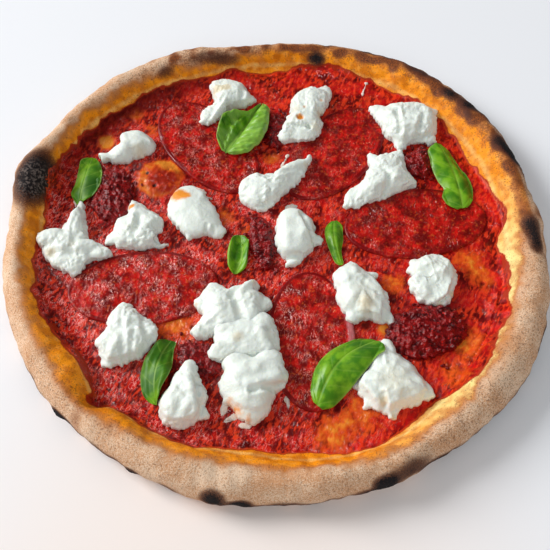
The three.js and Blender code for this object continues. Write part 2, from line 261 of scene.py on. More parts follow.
def sculpt(form: Form, lift: Callable[[Vector, Vector], float]) -> None:
    """Moves each vertex along its normal.

    Args:
        form: What is sculpted.
        lift: Gives the move in millimetres for a place in millimetres and the normal there.
    """
    form.normal_update()
    moves = [vertex.normal * (lift(vertex.co / MM, vertex.normal) * MM) for vertex in form.verts]
    for vertex, move in zip(form.verts, moves):
        vertex.co += move
    form.normal_update()


def paint(form: Form, name: str, amount: Callable[[Vector, Vector], float]) -> None:
    """Keeps a share for each vertex under a name that a finish reads.

    Args:
        form: What is painted.
        name: The attribute's name.
        amount: Gives the share for a place in millimetres and the normal there.
    """
    layer = form.verts.layers.float.new(name)
    for vertex in form.verts:
        vertex[layer] = amount(vertex.co / MM, vertex.normal)


def finished(
    name: str,
    form: Form,
    finish: bpy.types.Material,
    nodes: Sequence[str] = (),
) -> None:
    """Turns a form into a finished piece that rides on the pizza.

    Args:
        name: The piece's name.
        form: Its shape, which is left for others to lie on.
        finish: Its material.
        nodes: The solids of the frame that it stands for.
    """
    mesh = bpy.data.meshes.new(name)
    form.to_mesh(mesh)
    mesh.shade_smooth()
    mesh.materials.append(finish)
    piece = bpy.data.objects.new(name, mesh)
    bpy.context.scene.collection.objects.link(piece)
    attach(piece, "root")
    if nodes:
        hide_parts(*nodes)
    log.info("%s: %d faces", name, len(mesh.polygons))


class Ground:
    """What has been laid so far, for the next piece to rest on."""

    def __init__(self) -> None:
        """Starts with nothing laid."""
        self.trees: list[BVHTree] = []

    def lay(self, *forms: Form) -> None:
        """Adds forms to what the next pieces rest on."""
        self.trees.extend(BVHTree.FromBMesh(form) for form in forms)

    def height(self, place: Vector) -> float:
        """The height of the ground under a place, in metres.

        Args:
            place: Where, in metres.

        Returns:
            The height of the highest thing laid there, or of the floor.
        """
        start = Vector((place.x, place.y, OVERHEAD))
        hits = [tree.ray_cast(start, DOWN)[0] for tree in self.trees]
        return max((hit.z for hit in hits if hit is not None), default=0.0)


def settle(form: Form, ground: Ground, sink: float) -> None:
    """Brings a form's underside down on the ground and leaves its top where it is.

    Args:
        form: What is settled.
        ground: What it rests on.
        sink: How far it sinks in, in millimetres.
    """
    own = BVHTree.FromBMesh(form)
    middle = sum((vertex.co for vertex in form.verts), Vector()) / len(form.verts)
    for vertex in form.verts:
        inward = vertex.co.lerp(middle, 0.01)
        top = own.ray_cast(Vector((inward.x, inward.y, OVERHEAD)), DOWN)[0]
        bottom = own.ray_cast(Vector((inward.x, inward.y, -OVERHEAD)), UP)[0]
        if top is None or bottom is None or top.z - bottom.z < WELD:
            continue
        share = min(max((vertex.co.z - bottom.z) / (top.z - bottom.z), 0.0), 1.0)
        floor = ground.height(inward) - sink * MM
        vertex.co.z = floor + share * (top.z - floor)
    form.normal_update()


class Shading:
    """A material's nodes, with short calls for what the finishes share."""

    def __init__(self, name: str) -> None:
        """Makes a material with an empty surface.

        Args:
            name: The material's name.
        """
        self.material = bpy.data.materials.new(name)
        self.material.use_nodes = True
        self.tree = self.material.node_tree
        self.surface = self.tree.nodes["Principled BSDF"]
        self.place = self.add("ShaderNodeTexCoord").outputs["Object"]

    def add(self, kind: str, **settings: object) -> bpy.types.Node:
        """Adds a node and sets its own settings.

        Args:
            kind: The node's type.
            settings: Its settings by name.

        Returns:
            The node.
        """
        node = self.tree.nodes.new(kind)
        for name, value in settings.items():
            setattr(node, name, value)
        return node

    def feed(self, socket: Socket, value: object) -> None:
        """Gives a socket a value, or links another socket to it.

        Args:
            socket: The socket that is fed.
            value: The value, or the socket that it comes from.
        """
        if isinstance(value, bpy.types.NodeSocket):
            self.tree.links.new(value, socket)
        else:
            socket.default_value = value

    def set(self, **values: object) -> None:
        """Gives the surface's sockets their values, with their names written with underscores."""
        for name, value in values.items():
            self.feed(self.surface.inputs[name.replace("_", " ")], value)

    def attribute(self, name: str) -> Socket:
        """The share that was painted on the form under a name."""
        return self.add("ShaderNodeAttribute", attribute_name=name).outputs["Fac"]

    def stretched(self, turn: float, along: float) -> Socket:
        """The place drawn out along a line that lies some degrees from X, seen from above.

        Args:
            turn: The degrees.
            along: How many times as long a pattern comes out.

        Returns:
            The drawn-out place.
        """
        mapping = self.add("ShaderNodeMapping", vector_type="TEXTURE")
        mapping.inputs["Rotation"].default_value = (0, 0, math.radians(turn))
        mapping.inputs["Scale"].default_value = (along, 1, 1)
        self.feed(mapping.inputs["Vector"], self.place)
        return mapping.outputs["Vector"]

    def noise(
        self,
        size: float,
        detail: float = 2.0,
        place: Optional[Socket] = None,
        warp: float = 0.0,
    ) -> Socket:
        """Cloudy noise.

        Args:
            size: The size of its clouds in millimetres.
            detail: How many finer layers it has.
            place: Where it is read, or the plain place.
            warp: How far the clouds are twisted.

        Returns:
            The noise, around 0.5.
        """
        node = self.add("ShaderNodeTexNoise")
        self.feed(node.inputs["Vector"], place or self.place)
        node.inputs["Scale"].default_value = 1 / (size * MM)
        node.inputs["Detail"].default_value = detail
        node.inputs["Distortion"].default_value = warp
        return node.outputs["Fac"]

    def cells(self, size: float) -> Socket:
        """How far the nearest of many scattered points is.

        Args:
            size: How far apart they lie, in millimetres.

        Returns:
            The distance as a share of that size.
        """
        node = self.add("ShaderNodeTexVoronoi")
        self.feed(node.inputs["Vector"], self.place)
        node.inputs["Scale"].default_value = 1 / (size * MM)
        return node.outputs["Distance"]

    def distance(self, middle: tuple[float, float, float]) -> Socket:
        """How far from a place in millimetres, in metres.

        Args:
            middle: The place.

        Returns:
            The distance from it.
        """
        node = self.add("ShaderNodeVectorMath", operation="DISTANCE")
        self.feed(node.inputs[0], self.place)
        node.inputs[1].default_value = Vector(middle) * MM
        return node.outputs["Value"]

    def band(self, value: Socket, low: float, high: float) -> Socket:
        """0 at the low value, 1 at the high one, and smooth between.

        Args:
            value: What is read.
            low: The low value.
            high: The high one, which may be the smaller.

        Returns:
            The share.
        """
        node = self.add("ShaderNodeMapRange", interpolation_type="SMOOTHSTEP")
        self.feed(node.inputs["Value"], value)
        node.inputs["From Min"].default_value = low
        node.inputs["From Max"].default_value = high
        return node.outputs["Result"]

    def threads(self, size: float, place: Socket) -> Socket:
        """Thin wandering lines, about as far apart as a size in millimetres."""
        cloud = self.noise(size, detail=2, place=place, warp=0.8)
        return self.times(self.band(cloud, 0.455, 0.5), self.band(cloud, 0.545, 0.5))

    def daylight(self) -> Socket:
        """How much daylight a wet surface throws back at a place: most at the near left."""
        return self.band(self.distance((-110, -50, 10)), 230 * MM, 60 * MM)

    def painted_sheen(self, lines: Socket) -> Socket:
        """Where highlights are painted: the lines as they would catch the daylight, in patches.

        Args:
            lines: The share of a line at a place.

        Returns:
            The share of painted highlight there.
        """
        patches = self.band(self.noise(9, detail=3), 0.4, 0.62)
        lit = self.times(lines, patches)
        return self.times(lit, self.span(self.daylight(), 0.06, 1.0))

    def painted_glints(self, place: Socket) -> Socket:
        """Painted highlights: small bright specks on wet pulp, a few together.

        Args:
            place: Where the specks are read.

        Returns:
            The share of a painted speck.
        """
        specks = self.band(self.noise(1.2, detail=1, place=place), 0.6, 0.74)
        groups = self.band(self.noise(7, detail=2), 0.54, 0.64)
        return self.times(specks, self.span(groups, 0.0, 0.6))

    def wetness(self, size: float) -> Socket:
        """How wet a surface looks, in patches of a size in millimetres, fewer away from the daylight."""
        cloud = self.plus(self.noise(size, detail=3), self.span(self.daylight(), -0.07, 0.0))
        return self.span(self.band(cloud, 0.44, 0.58), 0.08, 1.0)

    def span(self, value: Socket, low: float, high: float) -> Socket:
        """A share from 0 to 1 spread from the low value to the high one.

        Args:
            value: The share.
            low: What 0 becomes.
            high: What 1 becomes.

        Returns:
            The value between them.
        """
        node = self.add("ShaderNodeMapRange")
        self.feed(node.inputs["Value"], value)
        node.inputs["To Min"].default_value = low
        node.inputs["To Max"].default_value = high
        return node.outputs["Result"]

    def maths(self, operation: str, first: object, second: object) -> Socket:
        """The result of a sum on two values, held between 0 and 1.

        Args:
            operation: The kind of sum.
            first: A value or a socket.
            second: Another one.

        Returns:
            The result.
        """
        node = self.add("ShaderNodeMath", operation=operation, use_clamp=True)
        self.feed(node.inputs[0], first)
        self.feed(node.inputs[1], second)
        return node.outputs[0]

    def times(self, first: object, second: object) -> Socket:
        """Two values multiplied, held between 0 and 1."""
        return self.maths("MULTIPLY", first, second)

    def plus(self, first: object, second: object) -> Socket:
        """Two values added up, held between 0 and 1."""
        return self.maths("ADD", first, second)

    def ragged(self, share: Socket, texture: Socket, spread: float) -> Socket:
        """A share with its border broken up by a texture, by so much both ways."""
        return self.plus(share, self.span(texture, -spread, spread))

    def blend(self, share: object, first: object, second: object) -> Socket:
        """The first colour where the share is 0 and the second where it is 1.

        Args:
            share: The second colour's share.
            first: A colour or a socket.
            second: Another one.

        Returns:
            The blend of the two.
        """
        node = self.add("ShaderNodeMix", data_type="RGBA")
        self.feed(node.inputs[0], share)
        self.feed(node.inputs[6], first)
        self.feed(node.inputs[7], second)
        return node.outputs[2]

    def bump(self, height: Socket, depth: float, normal: Optional[Socket] = None) -> Socket:
        """Fine relief.

        Args:
            height: The height's share, 0 to 1.
            depth: What a share of 1 stands for, in millimetres.
            normal: Coarser relief under it.

        Returns:
            The normal of the relief.
        """
        node = self.add("ShaderNodeBump")
        node.inputs["Distance"].default_value = depth * MM
        self.feed(node.inputs["Height"], height)
        if normal is not None:
            self.feed(node.inputs["Normal"], normal)
        return node.outputs["Normal"]


@dataclass(frozen=True)
class CrustFinish:
    """Baked dough: floury and freckled outside, golden and oily by the sauce, toasted and burnt."""

    flour: Colour = tint(236, 206, 176)
    tan: Colour = tint(203, 149, 107)
    speck: Colour = tint(108, 60, 34)
    rust: Colour = tint(200, 126, 66)
    gold: Colour = tint(255, 236, 156)
    amber: Colour = tint(254, 154, 14)
    brown: Colour = tint(190, 92, 8)
    baked: Colour = tint(214, 140, 68)
    toast: Colour = tint(158, 86, 38)
    scorch: Colour = tint(88, 48, 34)
    char: Colour = tint(31, 27, 29)
    ash: Colour = tint(108, 96, 90)
    stain: Colour = tint(170, 44, 10)
    ash_middle: tuple[float, float, float] = (-145, 35, 23)

    def material(self) -> bpy.types.Material:
        """The finish as a material.

        Returns:
            The material.
        """
        made = Shading("crust_dough")
        mottle = made.noise(6, detail=4)
        grain = made.noise(0.68, detail=2)
        fine = made.noise(0.5, detail=1)
        cloud = made.noise(17, detail=3)
        dusty = made.plus(made.span(grain, 0.0, 0.4), made.span(cloud, 0.0, 0.3))
        dusty = made.plus(dusty, made.span(fine, 0.0, 0.3))
        floury = made.blend(made.band(dusty, 0.41, 0.6), self.tan, self.flour)
        blotch = made.noise(4.5, detail=3)
        pale = made.ragged(made.attribute("pale"), blotch, 0.35)
        golden = made.blend(pale, self.amber, self.gold)
        shade = made.times(made.band(mottle, 0.6, 0.36), 0.6)
        shade = made.times(shade, made.span(made.attribute("pale"), 1.0, 0.45))
        golden = made.blend(shade, golden, self.brown)
        toasted = made.blend(made.band(grain, 0.4, 0.58), self.scorch, self.toast)
        baked = made.ragged(grain, mottle, 0.5)
        baked = made.blend(made.band(baked, 0.3, 0.7), self.toast, self.baked)
        colour = made.blend(self.broken(made, "bare", grain, 0.3), floury, baked)
        oily = made.ragged(made.attribute("golden"), mottle, 0.3)
        oily = made.ragged(oily, grain, 0.14)
        colour = made.blend(made.band(oily, 0.08, 0.5), colour, self.rust)
        colour = made.blend(made.band(oily, 0.36, 0.82), colour, golden)
        colour = made.blend(self.broken(made, "toast", grain, 0.35), colour, toasted)
        freckled = made.noise(1.1, detail=3)
        freckled = made.plus(freckled, made.span(made.attribute("freckle"), 0.0, 0.16))
        colour = made.blend(made.times(made.band(freckled, 0.58, 0.7), 0.52), colour, self.speck)
        colour = made.blend(self.broken(made, "stain", grain, 0.3), colour, self.stain)
        burn = made.times(made.attribute("char"), made.span(grain, 0.3, 1.7))
        ashy = made.band(made.distance(self.ash_middle), 18 * MM, 6 * MM)
        ashy = made.times(made.band(made.noise(1.5, detail=3), 0.44, 0.66), ashy)
        burnt = made.blend(ashy, self.char, self.ash)
        colour = made.blend(made.times(made.band(burn, 0.06, 0.5), 0.9), colour, self.scorch)
        colour = made.blend(made.band(burn, 0.42, 0.88), colour, burnt)
        spots = made.times(made.attribute("under"), made.band(made.noise(9, detail=4), 0.5, 0.66))
        colour = made.blend(made.times(spots, 0.85), colour, self.scorch)
        made.set(
            Base_Color=colour,
            Roughness=made.span(made.attribute("golden"), 0.8, 0.45),
            Specular_IOR_Level=0.2,
            Normal=made.bump(fine, 0.14, made.bump(grain, 0.45)),
        )
        return made.material

    @staticmethod
    def broken(made: Shading, name: str, texture: Socket, spread: float) -> Socket:
        """A painted share with its border broken up by a texture."""
        return made.band(made.ragged(made.attribute(name), texture, spread), 0.25, 0.75)


@dataclass(frozen=True)
class SauceFinish:
    """Wet tomato pulp with orange patches of melted fat and a blistered bubble, with painted highlights on
    the wet pulp and painted shade in its gaps, under the rim and beside the toppings.
    """

    red: Colour = tint(202, 12, 8)
    deep: Colour = tint(96, 2, 4)
    bright: Colour = tint(238, 60, 24)
    # the colours of highlights painted on the wet pulp, in lines and specks
    painted_sheen: Colour = tint(240, 146, 138)
    painted_glint: Colour = tint(240, 150, 128)
    stain: Colour = tint(196, 62, 14)
    melt: Colour = tint(222, 88, 18)
    cream: Colour = tint(238, 160, 52)
    # the colour of cooked sauce and of painted shade, under the rim at the upper left and beside the toppings
    cooked_and_shaded: Colour = tint(84, 4, 3)
    scald: Colour = tint(150, 30, 8)
    crater: Colour = tint(60, 14, 10)

    def material(self) -> bpy.types.Material:
        """The finish as a material.

        Returns:
            The material.
        """
        made = Shading("tomato_sauce")
        mottle = made.noise(9, detail=4)
        streaks = made.stretched(68, 2.0)
        pulp = made.noise(2.3, detail=4, place=streaks, warp=0.5)
        fibre = made.noise(1.2, detail=1, place=streaks, warp=0.4)
        # darker red in the gaps of the pulp: partly its tone and partly painted shade, stronger towards the
        # daylight
        shaded_gaps = made.band(made.noise(1.6, detail=2, place=streaks), 0.5, 0.36)
        colour = made.blend(made.band(mottle, 0.35, 0.65), self.deep, self.red)
        colour = made.blend(made.times(made.band(pulp, 0.44, 0.62), 0.8), colour, self.bright)
        shaded_gaps = made.times(shaded_gaps, made.span(made.daylight(), 0.3, 1.0))
        colour = made.blend(shaded_gaps, colour, self.deep)
        moist = made.span(made.attribute("dry"), 1.0, 0.0)
        # painted highlights: pale lines and specks where the wet pulp would catch the daylight
        lines = made.times(made.painted_sheen(made.threads(2.0, streaks)), moist)
        colour = made.blend(lines, colour, self.painted_sheen)
        colour = made.blend(made.times(made.painted_glints(streaks), moist), colour, self.painted_glint)
        thin = made.ragged(made.attribute("thin"), pulp, 0.35)
        colour = made.blend(made.band(thin, 0.25, 0.95), colour, self.stain)
        cloud = made.noise(5, detail=3, warp=0.5)
        ragged = made.ragged(made.attribute("melt"), cloud, 0.6)
        ragged = made.ragged(ragged, pulp, 0.3)
        colour = made.blend(made.band(ragged, 0.1, 0.85), colour, self.melt)
        colour = made.blend(made.times(made.band(ragged, 0.6, 1.1), 0.8), colour, self.cream)
        # painted shade with cooked sauce: darker under the rim at the upper left and beside the toppings
        colour = made.blend(made.times(made.attribute("dark"), 0.85), colour, self.cooked_and_shaded)
        scald = made.times(made.attribute("blister"), made.band(cloud, 0.3, 0.56))
        colour = made.blend(scald, colour, self.scald)
        pits = made.ragged(made.attribute("pit"), fibre, 0.3)
        colour = made.blend(made.band(pits, 0.3, 0.8), colour, self.crater)
        made.set(
            Base_Color=colour,
            Roughness=0.4,
            Specular_IOR_Level=0.2,
            Normal=made.bump(pulp, 0.6),
            Coat_Weight=made.times(made.wetness(10), moist),
            Coat_Roughness=0.07,
            Coat_Normal=made.bump(fibre, 1.3),
        )
        return made.material


@dataclass(frozen=True)
class SalamiFinish:
    """Oily red slices with specks of fat and a smooth dark edge, with painted highlights and painted shade in
    the gaps of the meat.
    """

    red: Colour = tint(204, 18, 8)
    deep: Colour = tint(112, 4, 4)
    casing: Colour = tint(122, 4, 7)
    fleck: Colour = tint(210, 88, 36)
    # the colours of highlights painted on the meat, in lines and specks
    painted_sheen: Colour = tint(232, 138, 126)
    painted_glint: Colour = tint(238, 150, 120)
    fat: Colour = tint(196, 112, 116)

    def material(self) -> bpy.types.Material:
        """The finish as a material.

        Returns:
            The material.
        """
        made = Shading("salami_meat")
        mottle = made.noise(7, detail=4)
        streaks = made.stretched(76, 2.0)
        mince = made.noise(1.9, detail=4, warp=0.5)
        fibre = made.noise(1.2, detail=1, place=streaks, warp=0.4)
        # darker red in the gaps of the meat: partly its tone and partly painted shade
        shaded_gaps = made.band(made.noise(1.7, detail=2, place=streaks), 0.49, 0.35)
        colour = made.blend(made.band(mottle, 0.35, 0.65), self.deep, self.red)
        flecks = made.times(made.band(mince, 0.55, 0.69), 0.62)
        colour = made.blend(flecks, colour, self.fleck)
        colour = made.blend(made.times(shaded_gaps, 0.7), colour, self.deep)
        # painted highlights: pale lines and specks where the wet meat would catch the daylight
        colour = made.blend(made.painted_sheen(made.threads(2.0, streaks)), colour, self.painted_sheen)
        colour = made.blend(made.painted_glints(streaks), colour, self.painted_glint)
        casing = made.band(made.attribute("casing"), 0.2, 0.8)
        casing = made.times(casing, made.span(made.band(made.noise(16), 0.42, 0.56), 0.3, 1.0))
        inner = made.span(casing, 1.0, 0.1)
        colour = made.blend(casing, colour, self.casing)
        fat = made.ragged(made.attribute("fat"), mince, 0.3)
        colour = made.blend(made.times(made.band(fat, 0.2, 0.9), 0.8), colour, self.fat)
        made.set(
            Base_Color=colour,
            Roughness=0.4,
            Specular_IOR_Level=0.2,
            Normal=made.bump(mince, 0.5),
            Coat_Weight=made.wetness(9),
            Coat_Roughness=0.07,
            Coat_Normal=made.bump(made.times(fibre, inner), 1.3),
        )
        return made.material


@dataclass(frozen=True)
class SausageFinish:
    """A dark, oily crumble, with painted shade between its crumbs."""

    meat: Colour = tint(148, 10, 12)
    deep: Colour = tint(74, 2, 8)
    chilli: Colour = tint(196, 26, 16)

    def material(self) -> bpy.types.Material:
        """The finish as a material.

        Returns:
            The material.
        """
        made = Shading("sausage_crumble")
        mottle = made.noise(4, detail=4)
        crumb = made.cells(1.1)
        colour = made.blend(made.band(mottle, 0.35, 0.65), self.deep, self.meat)
        # the middles of the crumbs kept red and the gaps between them darker: painted shade between the
        # crumbs
        colour = made.blend(made.band(crumb, 0.5, 0.1), colour, self.meat)
        colour = made.blend(made.band(made.noise(1.6, detail=2), 0.62, 0.7), colour, self.chilli)
        made.set(
            Base_Color=colour,
            Roughness=0.4,
            Specular_IOR_Level=0.3,
            Normal=made.bump(crumb, -0.5),
            Coat_Weight=0.36,
            Coat_Roughness=0.1,
            Coat_Normal=made.bump(made.noise(1.0, detail=1), 0.8),
        )
        return made.material


@dataclass(frozen=True)
class BurrataFinish:
    """Moist white curd with oily and creamy stains; the creamy tint also stands for painted shade in its
    folds and hollows.
    """

    white: Colour = tint(233, 240, 232)
    # the creamy tint, also used as painted shade in folds and hollows
    cream: Colour = tint(222, 206, 170)
    oil: Colour = tint(236, 150, 50)
    sauce: Colour = tint(206, 90, 70)

    def material(self) -> bpy.types.Material:
        """The finish as a material.

        Returns:
            The material.
        """
        made = Shading("burrata_curd")
        curd = made.noise(2.4, detail=3)
        fine = made.noise(0.8, detail=2)
        # creamy stains, and painted shade in folds and hollows
        cream = made.ragged(made.attribute("cream"), curd, 0.25)
        colour = made.blend(made.times(made.band(cream, 0.15, 0.95), 0.8), self.white, self.cream)
        oil = made.ragged(made.attribute("oil"), curd, 0.3)
        colour = made.blend(made.band(oil, 0.2, 0.8), colour, self.oil)
        wet = made.ragged(made.attribute("hem"), fine, 0.3)
        colour = made.blend(made.times(made.band(wet, 0.3, 1.0), 0.6), colour, self.sauce)
        made.set(
            Base_Color=colour,
            Roughness=0.42,
            Specular_IOR_Level=0.4,
            Subsurface_Weight=0.5,
            Subsurface_Radius=(1.0, 0.9, 0.75),
            Subsurface_Scale=2.0 * MM,
            Normal=made.bump(fine, 0.22, made.bump(curd, 0.4)),
        )
        return made.material


@dataclass(frozen=True)
class BasilFinish:
    """A fresh, waxy leaf with pale veins, with painted shade and painted light in patches."""

    green: Colour = tint(122, 174, 30)
    dark: Colour = tint(72, 132, 18)
    # deep and pale: the colours of painted shade and of painted light
    deep: Colour = tint(34, 92, 2)
    pale: Colour = tint(164, 204, 104)
    vein: Colour = tint(170, 204, 90)
    edge: Colour = tint(158, 184, 90)

    def material(self) -> bpy.types.Material:
        """The finish as a material.

        Returns:
            The material.
        """
        made = Shading("basil_leaf")
        mottle = made.noise(6, detail=3)
        fine = made.noise(0.8, detail=2)
        colour = made.blend(made.band(mottle, 0.35, 0.65), self.dark, self.green)
        # painted shade and painted light, from the shares painted on each leaf
        colour = made.blend(made.attribute("shade"), colour, self.deep)
        colour = made.blend(made.attribute("pale"), colour, self.pale)
        colour = made.blend(made.times(made.attribute("vein"), 0.34), colour, self.vein)
        colour = made.blend(made.times(made.attribute("hem"), 0.75), colour, self.edge)
        made.set(
            Base_Color=colour,
            Roughness=made.span(made.attribute("shade"), 0.36, 0.6),
            Specular_IOR_Level=0.36,
            Subsurface_Weight=0.2,
            Subsurface_Radius=(0.4, 1.0, 0.2),
            Subsurface_Scale=0.8 * MM,
            Normal=made.bump(fine, 0.05),
        )
        return made.material


@dataclass
class Stage:
    """The pale floor with a painted warm glow, the soft light and the camera."""

    target: tuple[float, float, float] = (0.2, -17.7, 0)
    elevation: float = 59.0
    distance: float = 520.0
    lens: float = 57.86
    sensor: float = 36.0
    floor_reach: float = 4000.0
    floor_tone: Colour = tint(244, 246, 250)
    # a warm glow of light painted on the floor in front of the pizza, and its middle
    painted_floor_glow: Colour = tint(250, 239, 233)
    painted_glow_middle: tuple[float, float, float] = (-30, -220, 0)
    sky: float = 0.33
    sky_tone: Colour = (0.97, 0.985, 1.0, 1.0)

    def build(self) -> None:
        """Makes the floor, the lights and the camera."""
        self.make_floor()
        self.make_sky()
        self.make_panel("window", place=(-3120, 1320, 1935), size=1800, power=162.0)
        room = self.make_panel("room", place=(200, -1500, 1700), size=2000, power=12.5)
        room.visible_glossy = False
        self.make_camera()
        bpy.context.scene.view_settings.view_transform = "Standard"

    def make_floor(self) -> None:
        """A wide flat floor with a warm glow of light painted on it in front of the pizza."""
        form = bmesh.new()
        bmesh.ops.create_grid(form, x_segments=8, y_segments=8, size=self.floor_reach * MM)
        mesh = bpy.data.meshes.new("floor")
        form.to_mesh(mesh)
        form.free()
        made = Shading("pale_floor")
        # painted warm light on the floor in front of the pizza
        painted_glow = made.band(made.distance(self.painted_glow_middle), 220 * MM, 50 * MM)
        made.set(Base_Color=made.blend(painted_glow, self.floor_tone, self.painted_floor_glow), Roughness=0.6)
        mesh.materials.append(made.material)
        floor = bpy.data.objects.new("floor", mesh)
        bpy.context.scene.collection.objects.link(floor)

    def make_sky(self) -> None:
        """Even light from all round."""
        world = bpy.data.worlds.new("room")
        world.use_nodes = True
        background = world.node_tree.nodes["Background"]
        background.inputs["Color"].default_value = self.sky_tone
        background.inputs["Strength"].default_value = self.sky
        world.cycles_visibility.glossy = False
        bpy.context.scene.world = world

    @staticmethod
    def make_panel(
        name: str,
        place: tuple[float, float, float],
        size: float,
        power: float,
    ) -> bpy.types.Object:
        """A square light that faces the pizza.

        Args:
            name: The light's name.
            place: Where its middle is.
            size: Its side.
            power: Its power in watts.

        Returns:
            The light's object.
        """
        light = bpy.data.lights.new(name, "AREA")
        light.size = size * MM
        light.energy = power
        panel = bpy.data.objects.new(name, light)
        panel.location = Vector(place) * MM
        panel.rotation_euler = panel.location.to_track_quat("Z", "Y").to_euler()
        panel.visible_camera = False
        bpy.context.scene.collection.objects.link(panel)
        return panel

    def make_camera(self) -> None:
        """A camera that looks down on the pizza from the near side."""
        lens = bpy.data.cameras.new("camera")
        lens.lens = self.lens
        lens.sensor_width = self.sensor
        camera = bpy.data.objects.new("camera", lens)
        tilt = math.radians(self.elevation)
        back = Vector((0, -math.cos(tilt), math.sin(tilt)))
        camera.location = (Vector(self.target) + self.distance * back) * MM
        camera.rotation_euler = (math.pi / 2 - tilt, 0, 0)
        bpy.context.scene.collection.objects.link(camera)
        bpy.context.scene.camera = camera


class RimRuler:
    """Says where the sauce ends and where the rim ends at each angle round the pizza."""

    STEPS = 360
    STRIDE = 0.5  # between the places where the sauce's edge is looked for
    WAIST = 8.0  # the height at which the rim is widest
    BEYOND = 200.0  # farther out than the rim
    WIDEST = 160.0  # farther out than the sauce

    def __init__(self, crust: BVHTree, sauce: BVHTree) -> None:
        """Measures the solids of the frame.

        Args:
            crust: The crust's surface.
            sauce: The sauce's surface.
        """
        self.outside: list[float] = []
        self.sauce_edge: list[float] = []
        for step in range(self.STEPS):
            turn = math.radians(step * 360 / self.STEPS)
            outward = Vector((math.cos(turn), math.sin(turn), 0))
            start = outward * self.BEYOND * MM + UP * self.WAIST * MM
            self.outside.append(crust.ray_cast(start, -outward)[0].to_2d().length / MM)
            reach = self.WIDEST
            while sauce.ray_cast(outward * reach * MM + UP * OVERHEAD, DOWN)[0] is None:
                reach -= self.STRIDE
            self.sauce_edge.append(reach)

    def between(self, values: list[float], angle: float) -> float:
        """A measured value at an angle, from the two steps beside it.

        Args:
            values: The values at all steps.
            angle: The angle.

        Returns:
            The value.
        """
        step = (angle % 360) * self.STEPS / 360
        low = int(step) % self.STEPS
        share = step - int(step)
        return values[low] * (1 - share) + values[(low + 1) % self.STEPS] * share

    def edge(self, angle: float) -> float:
        """How far out the sauce ends at an angle."""
        return self.between(self.sauce_edge, angle)

    def across(self, place: Vector) -> float:
        """How far across the rim a place is.

        Args:
            place: Where.

        Returns:
            0 at the edge of the sauce, 1 on the outside, and below 0 under the sauce.
        """
        angle = bearing(place)
        inner = self.edge(angle)
        return (place.to_2d().length - inner) / (self.between(self.outside, angle) - inner)


@dataclass(frozen=True)
class Burn:
    """A burnt patch on the rim: its middle, its reach along and across it, its darkness and its bulge."""

    middle: tuple[float, float, float]
    along: float
    across: float
    dark: float = 1.0
    bulge: float = 0.0

    def share(self, place: Vector) -> float:
        """How much of the patch is at a place, 1 in its middle and 0 outside it.

        Args:
            place: Where.

        Returns:
            The share.
        """
        offset = place - Vector(self.middle)
        tangent = Vector((-self.middle[1], self.middle[0], 0)).normalized()
        along = offset.dot(tangent)
        across = (offset - along * tangent).length
        return hill(math.hypot(along / self.along, across / self.across), 1)


@dataclass(frozen=True)
class Arc:
    """A stretch of the rim: its middle angle, its half width in degrees and how strong it is."""

    at: float
    spread: float
    amount: float

    def share(self, angle: float) -> float:
        """How strong the stretch is at an angle."""
        return self.amount * hill(turn_between(self.at, angle), self.spread)


def arcs_at(arcs: Sequence[Arc], place: Vector) -> float:
    """How strong stretches of the rim are together at a place."""
    angle = bearing(place)
    return sum(arc.share(angle) for arc in arcs)


@dataclass(frozen=True)
class Fold:
    """A ridge from one place to another, or a crease where its height is below zero."""

    x1: float
    y1: float
    x2: float
    y2: float
    reach: float
    height: float

    def at(self, place: Vector) -> float:
        """The fold's height at a place.

        Args:
            place: Where.

        Returns:
            The height, below zero in a crease.
        """
        start, run = Vector((self.x1, self.y1)), Vector((self.x2 - self.x1, self.y2 - self.y1))
        offset = place.to_2d() - start
        share = min(max(offset.dot(run) / max(run.length_squared, 1e-9), 0.0), 1.0)
        return self.height * hill((offset - share * run).length, self.reach)


